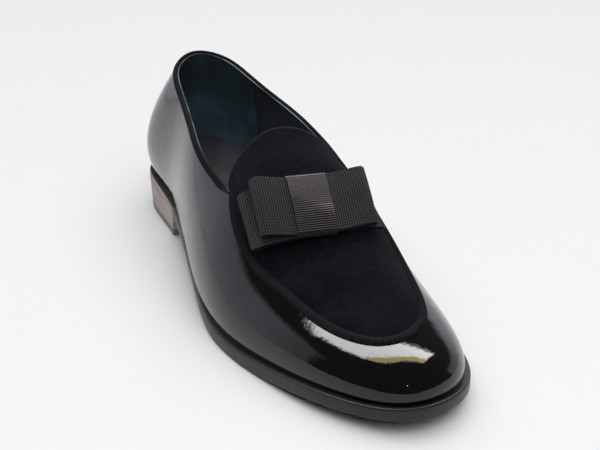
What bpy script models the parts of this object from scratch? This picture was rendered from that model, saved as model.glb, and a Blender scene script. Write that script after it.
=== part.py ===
"""A slip-on dress loafer for the right foot: patent wall, suede apron and a grosgrain ribbon bow.

Every piece is worked out from one last. A loop of wall sections runs round the foot, and each
section is a curve from the feather line, where the wall meets the sole, up to the crown line along
the top of the foot. A place on the loop is counted in sections: 0 is the back of the heel, 11 the
tip of the toe, positive on the outer (lateral) side and negative on the inner (medial) side.
Lengths are in millimetres and become metres when a mesh is made.
"""

import bmesh
import bpy
import numpy as np

OBJECT_NAME = "ribbon_bow_loafer"
METRES_PER_MM = 0.001
WELD_METRES = 0.00001

# Moves the middle of the shoe's box over the origin
FRAME_SHIFT = (2.61, -3.94, 0.0)

# Sections of the last, heel to toe: feather outline on both sides, feather height, the crown point
# that the wall climbs to, how far it rises and flares at the feather line, how far it reaches level
# from the crown, its length up to the collar or apron seam, and the sole's ledge and thickness
SECTION_COLUMNS = (
    "lat_x", "lat_y", "med_x", "med_y", "feather", "crown_y", "lat_rise", "med_rise",
    "lat_flare", "med_flare", "lat_reach", "med_reach", "lat_wall", "med_wall", "ledge", "sole",
)
SECTIONS = {
    "heel_back": (-2.3, 152.6, -2.3, 152.6, 22.4, 94.0, 36.5, 36.5,
                  19.0, 19.0, 17.5, 17.5, 70.6, 70.6, 1.2, 5.0),
    "heel_turn": (-20.9, 144.4, 17.4, 143.6, 21.9, 90.0, 35.0, 34.0,
                  29.0, 20.0, 6.0, 11.0, 69.4, 69.4, 1.8, 5.0),
    "heel_side": (-27.5, 121.0, 26.0, 120.0, 21.1, 82.0, 34.5, 34.6,
                  25.0, 18.0, 5.2, 9.0, 62.0, 62.0, 2.6, 5.0),
    "seat_front": (-29.6, 88.3, 30.0, 89.0, 20.5, 67.0, 35.8, 37.2,
                   12.0, 14.0, 11.0, 13.5, 53.2, 53.2, 2.0, 5.0),
    "waist_back": (-34.3, 55.6, 29.4, 56.0, 19.0, 44.0, 37.0, 41.8,
                   7.8, 17.0, 14.9, 21.0, 48.4, 48.4, 0.7, 4.8),
    "waist": (-40.0, 22.7, 28.1, 21.0, 15.4, 16.0, 37.2, 43.0,
              8.9, 20.4, 18.9, 26.2, 46.1, 46.1, 0.3, 4.6),
    "instep": (-45.4, -11.7, 31.0, -14.0, 10.1, -15.0, 31.7, 35.9,
               12.7, 20.5, 20.9, 25.6, 48.8, 48.8, 0.5, 5.0),
    "joint": (-46.2, -47.7, 39.3, -48.9, 6.0, -43.0, 24.8, 24.0,
              18.0, 16.7, 21.2, 21.9, 35.8, 34.6, 2.4, 5.9),
    "toe_back": (-39.7, -82.9, 39.8, -82.9, 7.2, -62.0, 19.9, 15.8,
                 15.1, 12.3, 22.2, 22.0, 28.3, 29.4, 2.6, 5.9),
    "toe_side": (-29.4, -114.1, 32.8, -112.9, 9.8, -74.0, 17.4, 13.6,
                 12.2, 10.6, 27.0, 27.2, 23.3, 28.0, 2.6, 5.4),
    "toe_turn": (-15.8, -136.3, 19.6, -134.5, 11.6, -79.5, 17.2, 15.6,
                 11.0, 11.3, 30.0, 30.5, 24.3, 28.4, 2.6, 5.2),
    "toe_tip": (0.1, -143.7, 0.1, -143.7, 12.8, -81.0, 17.8, 17.8,
                10.4, 10.4, 31.0, 31.0, 27.6, 27.6, 2.6, 5.2),
}
TOE = len(SECTIONS) - 1
THROAT = 6

# Crown line along the top of the foot
CROWN_COLUMNS = ("y", "x", "z")
CROWN = (
    (-82.0, 2.0, 39.0),
    (-55.0, 0.6, 50.3),
    (-25.0, 0.5, 67.2),
    (5.0, 0.7, 75.4),
    (35.0, 0.4, 94.6),
    (65.0, 0.8, 107.4),
    (95.0, 0.8, 111.5),
)

# Clearances and thicknesses
GAP = 0.3
UPPER_WALL = 1.8
APRON_WALL = 1.8
APRON_STAND = 0.8
RIBBON = 0.6
INSOLE = 2.5
INSOLE_INSET = 2.4
HEEL_PAD = 8.0
HEEL_PAD_FRONT = 45.0
HEEL_PAD_RUN = 95.0

# Tongue and piping
TONGUE_TOP = 5.29
TONGUE_POINT = 1.25
PIPING_RADIUS = 1.9
PIPING_RISE = -0.2
PIPING_GAP = 0.45
CROWN_MM_PER_PLACE = 34.0

# Collar binding
BINDING_DEPTH = 3.8
BINDING_CORNER = 0.2
BINDING_END = 5.86

# Heel, the places of its front edge at the sole and at the floor, and its inset from the ledge
HEEL_TOP_FRONT = 3.5
HEEL_FOOT_FRONT = 3.2
HEEL_TOP_INSET = 0.2
HEEL_BACK_FOOT_INSET = 0.6
HEEL_FRONT_FOOT_INSET = 2.0
HEEL_LAYERS = 4
HEEL_GROOVE = 0.35
TOP_PIECE = 4.0

# Sole edge rounding
SOLE_ROUND = 0.9

# Steps along the grids that the pieces are made on
STEPS_PER_SECTION = 4
SOLE_STATIONS = STEPS_PER_SECTION * TOE + 1
HEEL_STATIONS = 15
WALL_STATIONS = 9
COLLAR_STATIONS = 49
LOOP_STATIONS = 25

# Bow, in a frame that lies along the crown: across the foot, down the ribbon, and up off the apron
BOW_X = -5.0
BOW_Y = -47.3
BOW_SLOPE = 0.75
BOW_RIBBON_WIDTH = 26.5
LOOP_COLUMNS = ("half_length", "droop", "middle", "lobe")
LOOPS = {
    "bow_lower": (29.0, 5.0, 3.0, 4.6),
    "bow_upper": (26.0, 2.0, 3.0, 4.4),
}
KNOT_X = -2.2
KNOT_WIDTH = 17.6
KNOT_CORNER = 0.5
KNOT_SWELL = 0.5
SEAT_MARGIN = 1.5
SEAT_FRONT = 9.0
SEAT_FOOT = 0.55
SEAT_STATIONS = 31

# Colour, roughness of each material
MATERIALS = {
    "patent_leather": ((0.010, 0.010, 0.012), 0.08),
    "suede": ((0.018, 0.018, 0.021), 0.95),
    "grosgrain": ((0.045, 0.045, 0.048), 0.75),
    "satin_ribbon": ((0.075, 0.068, 0.066), 0.55),
    "sole_leather": ((0.030, 0.030, 0.033), 0.50),
    "stacked_leather": ((0.300, 0.262, 0.243), 0.50),
    "heel_rubber": ((0.200, 0.175, 0.162), 0.80),
    "sock_leather": ((0.014, 0.014, 0.017), 0.45),
}


class PeriodicSpline:
    """A smooth closed curve through values at whole places."""

    def __init__(self, values):
        self.values = np.asarray(values, float)
        unit = np.eye(len(self.values))
        matrix = 4.0 * unit + np.roll(unit, 1, axis=0) + np.roll(unit, -1, axis=0)
        turn = np.roll(self.values, -1) - 2.0 * self.values + np.roll(self.values, 1)
        self.bends = np.linalg.solve(matrix, 6.0 * turn)

    def __call__(self, places):
        count = len(self.values)
        places = np.asarray(places, float) % count
        lower = np.floor(places).astype(int) % count
        upper = (lower + 1) % count
        after = places - np.floor(places)
        before = 1.0 - after
        straight = before * self.values[lower] + after * self.values[upper]
        bend = (before**3 - before) * self.bends[lower] + (after**3 - after) * self.bends[upper]
        return straight + bend / 6.0


class NaturalSpline:
    """A smooth open curve through values at given stations."""

    def __init__(self, stations, values):
        self.stations = np.asarray(stations, float)
        self.values = np.asarray(values, float)
        count = len(self.stations)
        steps = np.diff(self.stations)
        rises = np.diff(self.values) / steps
        matrix = np.eye(count)
        turn = np.zeros(count)
        for i in range(1, count - 1):
            matrix[i, i - 1:i + 2] = steps[i - 1], 2.0 * (steps[i - 1] + steps[i]), steps[i]
            turn[i] = 6.0 * (rises[i] - rises[i - 1])
        self.bends = np.linalg.solve(matrix, turn)

    def span(self, queries):
        queries = np.asarray(queries, float)
        lower = np.clip(np.searchsorted(self.stations, queries) - 1, 0, len(self.stations) - 2)
        step = self.stations[lower + 1] - self.stations[lower]
        before = (self.stations[lower + 1] - queries) / step
        return lower, step, before, 1.0 - before

    def __call__(self, queries):
        lower, step, before, after = self.span(queries)
        straight = before * self.values[lower] + after * self.values[lower + 1]
        bend = (before**3 - before) * self.bends[lower] + (after**3 - after) * self.bends[lower + 1]
        return straight + bend * step**2 / 6.0

    def slope(self, queries):
        lower, step, before, after = self.span(queries)
        straight = (self.values[lower + 1] - self.values[lower]) / step
        bend = (3.0 * after**2 - 1.0) * self.bends[lower + 1] - (3.0 * before**2 - 1.0) * self.bends[lower]
        return straight + bend * step / 6.0


class Last:
    """The form that the shoe is made on."""

    SMALL_STEP = 0.002
    NEAR_CROWN = 0.99
    LENGTH_STEPS = 121

    def __init__(self):
        column = dict(zip(SECTION_COLUMNS, np.array(list(SECTIONS.values())).T))
        self.splines = {}
        for name in ("x", "y", "rise", "flare", "reach"):
            around = np.concatenate([column["lat_" + name], column["med_" + name][-2:0:-1]])
            self.splines[name] = PeriodicSpline(around)
        for name in ("feather", "crown_y", "ledge", "sole"):
            around = np.concatenate([column[name], column[name][-2:0:-1]])
            self.splines[name] = PeriodicSpline(around)
        lateral = column["lat_wall"]
        medial = column["med_wall"]
        round_heel = np.arange(-THROAT, THROAT + 1)
        round_toe = np.arange(THROAT, 2 * TOE - THROAT + 1)
        collar = np.concatenate([medial[THROAT:0:-1], lateral[:THROAT + 1]])
        seam = np.concatenate([lateral[THROAT:], medial[-2:THROAT - 1:-1]])
        self.collar = NaturalSpline(round_heel, collar)
        self.seam = NaturalSpline(round_toe, seam)
        crown = dict(zip(CROWN_COLUMNS, np.array(CROWN).T))
        self.crown_x = NaturalSpline(crown["y"], crown["x"])
        self.crown_z = NaturalSpline(crown["y"], crown["z"])

    def value(self, name, places):
        return self.splines[name](places)

    def outward(self, places):
        """Level unit directions out from the feather outline."""
        along_x = self.value("x", places + self.SMALL_STEP) - self.value("x", places - self.SMALL_STEP)
        along_y = self.value("y", places + self.SMALL_STEP) - self.value("y", places - self.SMALL_STEP)
        length = np.hypot(along_x, along_y)
        return np.stack([along_y / length, -along_x / length], axis=-1)

    def outline(self, places, outset):
        """Plan points at an outset from the feather line."""
        feather = np.stack([self.value("x", places), self.value("y", places)], axis=-1)
        return feather + np.asarray(outset)[..., None] * self.outward(places)

    def controls(self, places):
        """The four Bezier points of the wall section at each place."""
        foot = np.stack([self.value(name, places) for name in ("x", "y", "feather")], axis=-1)
        crown_y = self.value("crown_y", places)
        crown = np.stack([self.crown_x(crown_y), crown_y, self.crown_z(crown_y)], axis=-1)
        flare = np.radians(self.value("flare", places))[..., None]
        rise = self.value("rise", places)[..., None]
        lean = np.sin(flare) * self.outward(places)
        shoulder = foot + rise * np.concatenate([lean, np.cos(flare)], axis=-1)
        plan = (foot - crown)[..., :2]
        plan = plan / np.linalg.norm(plan, axis=-1, keepdims=True)
        fall = self.crown_z.slope(crown_y) * plan[..., 1]
        level = np.concatenate([plan, fall[..., None]], axis=-1)
        return foot, shoulder, crown + self.value("reach", places)[..., None] * level, crown

    def point(self, places, climbs):
        """Points of the outer surface; a climb is 0 at the feather line and 1 at the crown."""
        foot, shoulder, brow, crown = self.controls(places)
        up = np.asarray(climbs, float)[..., None]
        down = 1.0 - up
        return down**3 * foot + 3.0 * down**2 * up * shoulder + 3.0 * down * up**2 * brow + up**3 * crown

    def normal(self, places, climbs):
        step = self.SMALL_STEP
        climbs = np.minimum(climbs, self.NEAR_CROWN)
        along = self.point(places + step, climbs) - self.point(places - step, climbs)
        upward = self.point(places, climbs + step) - self.point(places, climbs - step)
        out = np.cross(along, upward)
        return out / np.linalg.norm(out, axis=-1, keepdims=True)

    def raised(self, places, climbs, stand):
        """Points that stand off the outer surface."""
        return self.point(places, climbs) + np.asarray(stand)[..., None] * self.normal(places, climbs)

    def climb_at(self, places, lengths):
        """The climb at a length measured up the wall from the feather line."""
        climbs = np.linspace(0.0, 1.0, self.LENGTH_STEPS)
        found = []
        for place, length in zip(places, lengths):
            points = self.point(np.full(self.LENGTH_STEPS, place), climbs)
            run = np.concatenate([[0.0], np.cumsum(np.linalg.norm(np.diff(points, axis=0), axis=1))])
            found.append(np.interp(length, run, climbs))
        return np.array(found)

    def wall_length(self, places):
        """Length of the wall up to the collar behind the throat, or to the apron seam before it."""
        places = np.asarray(places, float) % (2 * TOE)
        behind = np.where(places > TOE, places - 2 * TOE, places)
        return np.where(np.abs(behind) < THROAT, self.collar(behind), self.seam(places))

    def tread(self, places):
        """Height of the sole's underside, flat on the floor under the joint of the foot."""
        underside = self.value("feather", places) - GAP - self.value("sole", places)
        return np.maximum(underside, 0.0)


def new_object(name, material, mesh, collection):
    """An object for a finished bmesh, in millimetres, with its material."""
    bmesh.ops.scale(mesh, vec=(METRES_PER_MM,) * 3, verts=mesh.verts)
    bmesh.ops.remove_doubles(mesh, verts=mesh.verts, dist=WELD_METRES)
    data = bpy.data.meshes.new(name)
    mesh.to_mesh(data)
    mesh.free()
    data.shade_smooth()
    data.set_sharp_from_angle(angle=np.radians(35.0))
    data.materials.append(material)
    piece = bpy.data.objects.new(name, data)
    collection.objects.link(piece)
    return piece


def add_surface(mesh, points, closed=False, flipped=False):
    """Quads over a grid of points, facing along rows crossed with columns; returns its vertices."""
    verts = [[mesh.verts.new(point) for point in row] for row in points]
    rows = verts + verts[:1] if closed else verts
    for here, beyond in zip(rows, rows[1:]):
        for j in range(len(here) - 1):
            corners = (here[j], beyond[j], beyond[j + 1], here[j + 1])
            mesh.faces.new(reversed(corners) if flipped else corners)
    return verts


def shell(name, material, points, thickness, collection, closed=False):
    """A wall of even thickness behind an open surface."""
    mesh = bmesh.new()
    add_surface(mesh, points, closed)
    piece = new_object(name, material, mesh, collection)
    wall = piece.modifiers.new("Wall", "SOLIDIFY")
    wall.thickness = thickness * METRES_PER_MM
    wall.offset = -1.0
    wall.use_even_offset = True
    wall.use_quality_normals = True
    return piece


def rim(grid):
    """The border of a grid, once round."""
    down_end = [row[-1] for row in grid[:-1]]
    back_start = [row[0] for row in grid[:0:-1]]
    return grid[0][:-1] + down_end + grid[-1][:0:-1] + back_start


def slab(name, material, levels, collection):
    """A solid through stacked levels, top first, each a grid of points over the whole plan."""
    mesh = bmesh.new()
    top = add_surface(mesh, levels[0])
    rings = [rim(top)]
    for level in levels[1:-1]:
        rings.append([mesh.verts.new(point) for point in rim([list(row) for row in level])])
    rings.append(rim(add_surface(mesh, levels[-1], flipped=True)))
    for upper, lower in zip(rings, rings[1:]):
        for i in range(len(upper)):
            mesh.faces.new((upper[i - 1], upper[i], lower[i], lower[i - 1]))
    return new_object(name, material, mesh, collection)


def plan_level(last, places, outset, heights, columns=4):
    """A grid from side to side of the foot at each place, at an outset from the feather line."""
    across = np.linspace(0.0, 1.0, columns + 1)[None, :, None]
    lateral = last.outline(places, outset)[:, None]
    medial = last.outline(-places, outset)[:, None]
    plan = lateral + (medial - lateral) * across
    rise = np.broadcast_to(np.asarray(heights)[:, None, None], plan.shape[:2] + (1,))
    return np.concatenate([plan, rise], axis=-1)


def make_outsole(last, material, collection):
    places = np.linspace(0.0, TOE, SOLE_STATIONS)
    ledge = last.value("ledge", places)
    top = last.value("feather", places) - GAP
    foot = last.tread(places)
    levels = [
        plan_level(last, places, ledge - SOLE_ROUND, top),
        plan_level(last, places, ledge, top - SOLE_ROUND),
        plan_level(last, places, ledge, foot + SOLE_ROUND),
        plan_level(last, places, ledge - SOLE_ROUND, foot),
    ]
    return slab("outsole", material, levels, collection)


def make_insole(last, material, collection):
    """A board with a soft pad that rises under the heel of the foot."""
    places = np.linspace(0.0, TOE, SOLE_STATIONS)
    inset = np.full(len(places), -INSOLE_INSET)
    board = last.value("feather", places)
    behind = np.clip((last.value("y", places) - HEEL_PAD_FRONT) / HEEL_PAD_RUN, 0.0, 1.0)
    top = board + INSOLE + HEEL_PAD * behind**2 * (3.0 - 2.0 * behind)
    levels = [plan_level(last, places, inset, top), plan_level(last, places, inset, board)]
    return slab("insole", material, levels, collection)


def heel_level(last, share, groove, height):
    """A level of the heel, from share 0 at the sole to share 1 at the floor."""
    front = HEEL_TOP_FRONT + (HEEL_FOOT_FRONT - HEEL_TOP_FRONT) * share
    places = np.linspace(0.0, front, HEEL_STATIONS)
    foot_inset = np.linspace(HEEL_BACK_FOOT_INSET, HEEL_FRONT_FOOT_INSET, len(places))
    inset = HEEL_TOP_INSET + (foot_inset - HEEL_TOP_INSET) * share + groove
    return plan_level(last, places, last.value("ledge", places) - inset, height(places))


def make_heel(last, materials, collection):
    seat = last.tread(np.zeros(1))[0]
    stack_share = 1.0 - (TOP_PIECE + GAP) / seat

    def stack_height(share):
        return lambda places: (last.tread(places) - GAP) * (1.0 - share) + (TOP_PIECE + GAP) * share

    levels = [heel_level(last, 0.0, 0.0, stack_height(0.0))]
    half = 0.5 * HEEL_GROOVE / (seat - TOP_PIECE)
    for layer in range(1, HEEL_LAYERS):
        seam = layer / HEEL_LAYERS
        for share, groove in ((seam - half, 0.0), (seam, HEEL_GROOVE), (seam + half, 0.0)):
            levels.append(heel_level(last, share * stack_share, groove, stack_height(share)))
    levels.append(heel_level(last, stack_share, 0.0, stack_height(1.0)))
    slab("heel_stack", materials["stacked_leather"], levels, collection)

    def flat(height):
        return lambda places: np.full(len(places), height)

    ends = [heel_level(last, stack_share, 0.0, flat(TOP_PIECE)), heel_level(last, 1.0, 0.0, flat(0.0))]
    slab("heel_top_piece", materials["heel_rubber"], ends, collection)


def make_upper(last, material, collection):
    places = np.arange(0.0, 2 * TOE, 1.0 / STEPS_PER_SECTION)
    edge = last.climb_at(places, last.wall_length(places))
    shares = np.linspace(0.0, 1.0, WALL_STATIONS)
    climbs = edge[:, None] * shares
    points = last.point(np.broadcast_to(places[:, None], climbs.shape), climbs)
    return shell("upper", material, points, UPPER_WALL, collection, closed=True)


def apron_edge(last, inset, dome_steps, seam_places):
    """Places and both climbs along the apron's border, from the tongue's top down to the toe."""
    top = TONGUE_TOP + inset / CROWN_MM_PER_PLACE
    turn = np.linspace(0.5 * np.pi, 0.0, dome_steps + 1)[:-1]
    dome = THROAT - (THROAT - top) * np.sin(turn)
    throat = np.array([float(THROAT), -float(THROAT)])
    sides = last.climb_at(throat, last.wall_length(throat) + inset)
    climbs = [1.0 - np.cos(turn)**TONGUE_POINT * (1.0 - side) for side in sides]
    seams = [last.climb_at(side, last.wall_length(side) + inset) for side in (seam_places, -seam_places)]
    lateral, medial = [np.concatenate(parts) for parts in zip(climbs, seams)]
    return np.concatenate([dome, seam_places]), lateral, medial


def make_apron(last, material, collection):
    seam_places = np.linspace(THROAT, TOE, 21)
    inset = 2.0 * PIPING_RADIUS + 2.0 * PIPING_GAP
    places, lateral, medial = apron_edge(last, inset, 8, seam_places)
    across = np.linspace(-1.0, 1.0, 13)
    sided = np.where(across < 0.0, 1.0, -1.0) * places[:, None]
    edges = np.where(across < 0.0, lateral[:, None], medial[:, None])
    climbs = 1.0 - (1.0 - edges) * np.abs(across)
    points = last.raised(sided, climbs, np.full(climbs.shape, APRON_STAND))
    return shell("apron", material, points, APRON_WALL, collection)


def make_piping(last, material, collection):
    """A round cord along the apron's border."""
    inset = PIPING_RADIUS + PIPING_GAP
    places, lateral, medial = apron_edge(last, inset, 12, np.linspace(THROAT, TOE, 31))
    round_places = np.concatenate([places, -places[-2:0:-1]])
    climbs = np.concatenate([lateral, medial[-2:0:-1]])
    points = last.raised(round_places, climbs, np.full(climbs.shape, PIPING_RISE)) * METRES_PER_MM
    curve = bpy.data.curves.new("apron_piping", "CURVE")
    curve.dimensions = "3D"
    curve.bevel_depth = PIPING_RADIUS * METRES_PER_MM
    curve.bevel_resolution = 2
    spline = curve.splines.new("POLY")
    spline.points.add(len(points) - 1)
    for point, place in zip(spline.points, points):
        point.co = (*place, 1.0)
    spline.use_cyclic_u = True
    curve.materials.append(material)
    piece = bpy.data.objects.new("apron_piping", curve)
    collection.objects.link(piece)
    return piece


def make_collar_binding(last, material, collection):
    """Ribbon folded over the collar: up the outside, over the edge and down the inside."""
    places = np.linspace(-BINDING_END, BINDING_END, COLLAR_STATIONS)
    outer = GAP + RIBBON
    inner = -UPPER_WALL - GAP - RIBBON
    over = GAP + RIBBON
    fold = (
        (-BINDING_DEPTH, outer),
        (-0.5 * BINDING_DEPTH, outer),
        (BINDING_CORNER, outer),
        (over, BINDING_CORNER),
        (over, -UPPER_WALL - BINDING_CORNER),
        (BINDING_CORNER, inner),
        (-0.5 * BINDING_DEPTH, inner),
        (-BINDING_DEPTH, inner),
    )
    lengths = last.wall_length(places)
    columns = []
    for rise, stand in fold:
        climbs = last.climb_at(places, lengths + rise)
        columns.append(last.raised(places, climbs, np.full(len(places), stand)))
    points = np.stack(columns, axis=1)
    return shell("collar_binding", material, points, RIBBON, collection)


class BowFrame:
    """Directions of the bow: across the foot, down the ribbon's width, and up off the apron."""

    def __init__(self, last):
        length = np.hypot(1.0, BOW_SLOPE)
        self.across = np.array([1.0, 0.0, 0.0])
        self.down = np.array([0.0, -1.0, -BOW_SLOPE]) / length
        self.up = np.array([0.0, -BOW_SLOPE, 1.0]) / length
        self.centre = np.array([BOW_X, BOW_Y, 0.0])
        self.centre[2] = last.crown_z(BOW_Y)
        self.centre += self.seat(last) * self.up

    def seat(self, last):
        """How far the bow's middle lifts so that its knot clears the apron under it."""
        stations = np.linspace(THROAT, SEAT_FRONT, SEAT_STATIONS)
        climbs = np.linspace(SEAT_FOOT, 1.0, SEAT_STATIONS)
        places, climbs = np.meshgrid(stations, climbs, indexing="ij")
        stand = np.full(climbs.shape, APRON_STAND)
        surface = np.concatenate([last.raised(side * places, climbs, stand) for side in (1, -1)])
        away = surface - self.centre
        under_knot = np.abs(away @ self.across - KNOT_X) < 0.5 * KNOT_WIDTH + SEAT_MARGIN
        under_knot &= np.abs(away @ self.down) < 0.5 * BOW_RIBBON_WIDTH + SEAT_MARGIN
        return np.max((away @ self.up)[under_knot]) + 2.0 * GAP + RIBBON

    def points(self, across, down, up):
        return (self.centre + np.asarray(across)[..., None] * self.across
                + np.asarray(down)[..., None] * self.down + np.asarray(up)[..., None] * self.up)


class Loop:
    """One ribbon loop of the bow: flat in the knot, fuller in the lobes, folded round at both ends."""

    def __init__(self, name, under=None):
        self.name = name
        size = dict(zip(LOOP_COLUMNS, LOOPS[name]))
        self.half_length = size["half_length"]
        self.droop = size["droop"]
        self.middle = size["middle"]
        self.lobe = size["lobe"]
        self.under = under

    def depth(self, across):
        held = 0.5 * KNOT_WIDTH
        share = np.clip((np.abs(across) - held) / (self.half_length - held), 0.0, 1.0)
        return self.middle + (self.lobe - self.middle) * np.sin(0.5 * np.pi * share)**2

    def underside(self, across):
        """Height of the lower run, which lies in the knot and falls off towards the folds."""
        held = self.under.top(np.zeros(1))[0] + GAP if self.under else 0.0
        return held - self.droop * (across / self.half_length)**2

    def top(self, across):
        return self.underside(across) + self.depth(across)

    def make(self, frame, material, collection):
        across = self.half_length * np.cos(np.linspace(0.0, np.pi, LOOP_STATIONS))
        depth = self.depth(across)
        radius = 0.5 * depth[0]
        past = np.clip((np.abs(across) - (self.half_length - radius)) / radius, 0.0, 1.0)
        half_depth = 0.5 * depth * np.sqrt(1.0 - past**2)
        middle = self.underside(across) + 0.5 * depth
        path_across = np.concatenate([across, across[-2:0:-1]])
        path_up = np.concatenate([middle + half_depth, (middle - half_depth)[-2:0:-1]])
        edges = np.array([-0.5, 0.5]) * BOW_RIBBON_WIDTH
        across_grid, down_grid = np.meshgrid(path_across, edges, indexing="ij")
        up_grid = np.broadcast_to(path_up[:, None], across_grid.shape)
        points = frame.points(across_grid, down_grid, up_grid)
        return shell(self.name, material, points, RIBBON, collection, closed=True)


def make_knot(frame, lower, upper, material, collection):
    """A ribbon band round the middle of both loops."""
    across = KNOT_X + np.linspace(-0.5, 0.5, 5) * KNOT_WIDTH
    reach = 0.5 * BOW_RIBBON_WIDTH + GAP + RIBBON
    low = lower.underside(across) - GAP - RIBBON
    high = upper.top(across) + GAP + RIBBON
    band = (
        (-reach + KNOT_CORNER, high),
        (0.0, high + KNOT_SWELL),
        (reach - KNOT_CORNER, high),
        (reach, high - KNOT_CORNER),
        (reach, low + KNOT_CORNER),
        (reach - KNOT_CORNER, low),
        (-reach + KNOT_CORNER, low),
        (-reach, low + KNOT_CORNER),
        (-reach, high - KNOT_CORNER),
    )
    rows = [frame.points(across, np.full(len(across), down), up) for down, up in band]
    return shell("bow_knot", material, rows, RIBBON, collection, closed=True)


def make_bow(last, materials, collection):
    frame = BowFrame(last)
    lower = Loop("bow_lower")
    upper = Loop("bow_upper", under=lower)
    lower.make(frame, materials["grosgrain"], collection)
    upper.make(frame, materials["grosgrain"], collection)
    make_knot(frame, lower, upper, materials["satin_ribbon"], collection)


def new_material(name, colour, roughness):
    material = bpy.data.materials.new(name)
    material.use_nodes = True
    shader = material.node_tree.nodes["Principled BSDF"]
    shader.inputs["Base Color"].default_value = (*colour, 1.0)
    shader.inputs["Roughness"].default_value = roughness
    shader.inputs["Metallic"].default_value = 0.0
    return material


def place_on_origin(collection):
    """Carry every piece on one empty, which sets the shoe's middle over the origin."""
    pieces = list(collection.objects)
    middle = bpy.data.objects.new("middle", None)
    middle.location = [METRES_PER_MM * shift for shift in FRAME_SHIFT]
    collection.objects.link(middle)
    for piece in pieces:
        piece.parent = middle


def main():
    for old in list(bpy.data.objects):
        bpy.data.objects.remove(old, do_unlink=True)
    collection = bpy.data.collections.new(OBJECT_NAME)
    bpy.context.scene.collection.children.link(collection)
    materials = {name: new_material(name, *look) for name, look in MATERIALS.items()}
    last = Last()
    make_outsole(last, materials["sole_leather"], collection)
    make_heel(last, materials, collection)
    make_insole(last, materials["sock_leather"], collection)
    make_upper(last, materials["patent_leather"], collection)
    make_apron(last, materials["suede"], collection)
    make_piping(last, materials["grosgrain"], collection)
    make_collar_binding(last, materials["grosgrain"], collection)
    make_bow(last, materials, collection)
    place_on_origin(collection)


if __name__ == "__main__":
    main()
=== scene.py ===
"""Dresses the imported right-foot loafer: glossy wall, suede apron, ribbed ribbon trims, lining and sole.

The visible pieces follow the same last as the solids. A place counts sections round the foot: 0 is
the back of the heel, 11 the tip of the toe, positive on the outer side and negative on the inner
side. A climb runs from 0 at the feather line, where the wall meets the sole, to 1 at the crown.
Lengths are in millimetres and become metres when a mesh is made.
"""

import bmesh
import bpy
import numpy as np
from bpy.props import FloatProperty, FloatVectorProperty, PointerProperty
from mathutils import Matrix, Vector


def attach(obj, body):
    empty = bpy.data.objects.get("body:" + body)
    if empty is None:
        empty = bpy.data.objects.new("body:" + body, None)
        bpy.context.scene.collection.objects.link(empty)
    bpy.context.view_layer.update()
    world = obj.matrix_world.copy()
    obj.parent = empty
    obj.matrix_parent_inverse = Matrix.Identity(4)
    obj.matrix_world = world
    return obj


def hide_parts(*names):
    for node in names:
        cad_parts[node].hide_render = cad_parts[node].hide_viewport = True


bl_info = {
    "name": "Ribbon Bow Loafer",
    "version": (1, 0, 0),
    "blender": (4, 5, 0),
    "location": "View3D > Sidebar > Loafer",
    "description": "Builds the visible pieces of a right-foot loafer with a ribbon bow",
    "category": "Object",
}

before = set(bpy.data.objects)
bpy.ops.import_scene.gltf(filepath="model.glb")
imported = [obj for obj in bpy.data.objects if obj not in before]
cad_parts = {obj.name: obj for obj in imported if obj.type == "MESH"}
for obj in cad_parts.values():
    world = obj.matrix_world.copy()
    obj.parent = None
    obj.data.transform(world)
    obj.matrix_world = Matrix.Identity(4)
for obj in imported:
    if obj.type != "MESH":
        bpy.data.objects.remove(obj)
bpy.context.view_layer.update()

BODY = "root"
METRES_PER_MM = 0.001
WELD = 0.00001
FRAME_SHIFT = np.array([2.61, -3.94, 0.0])

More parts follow.
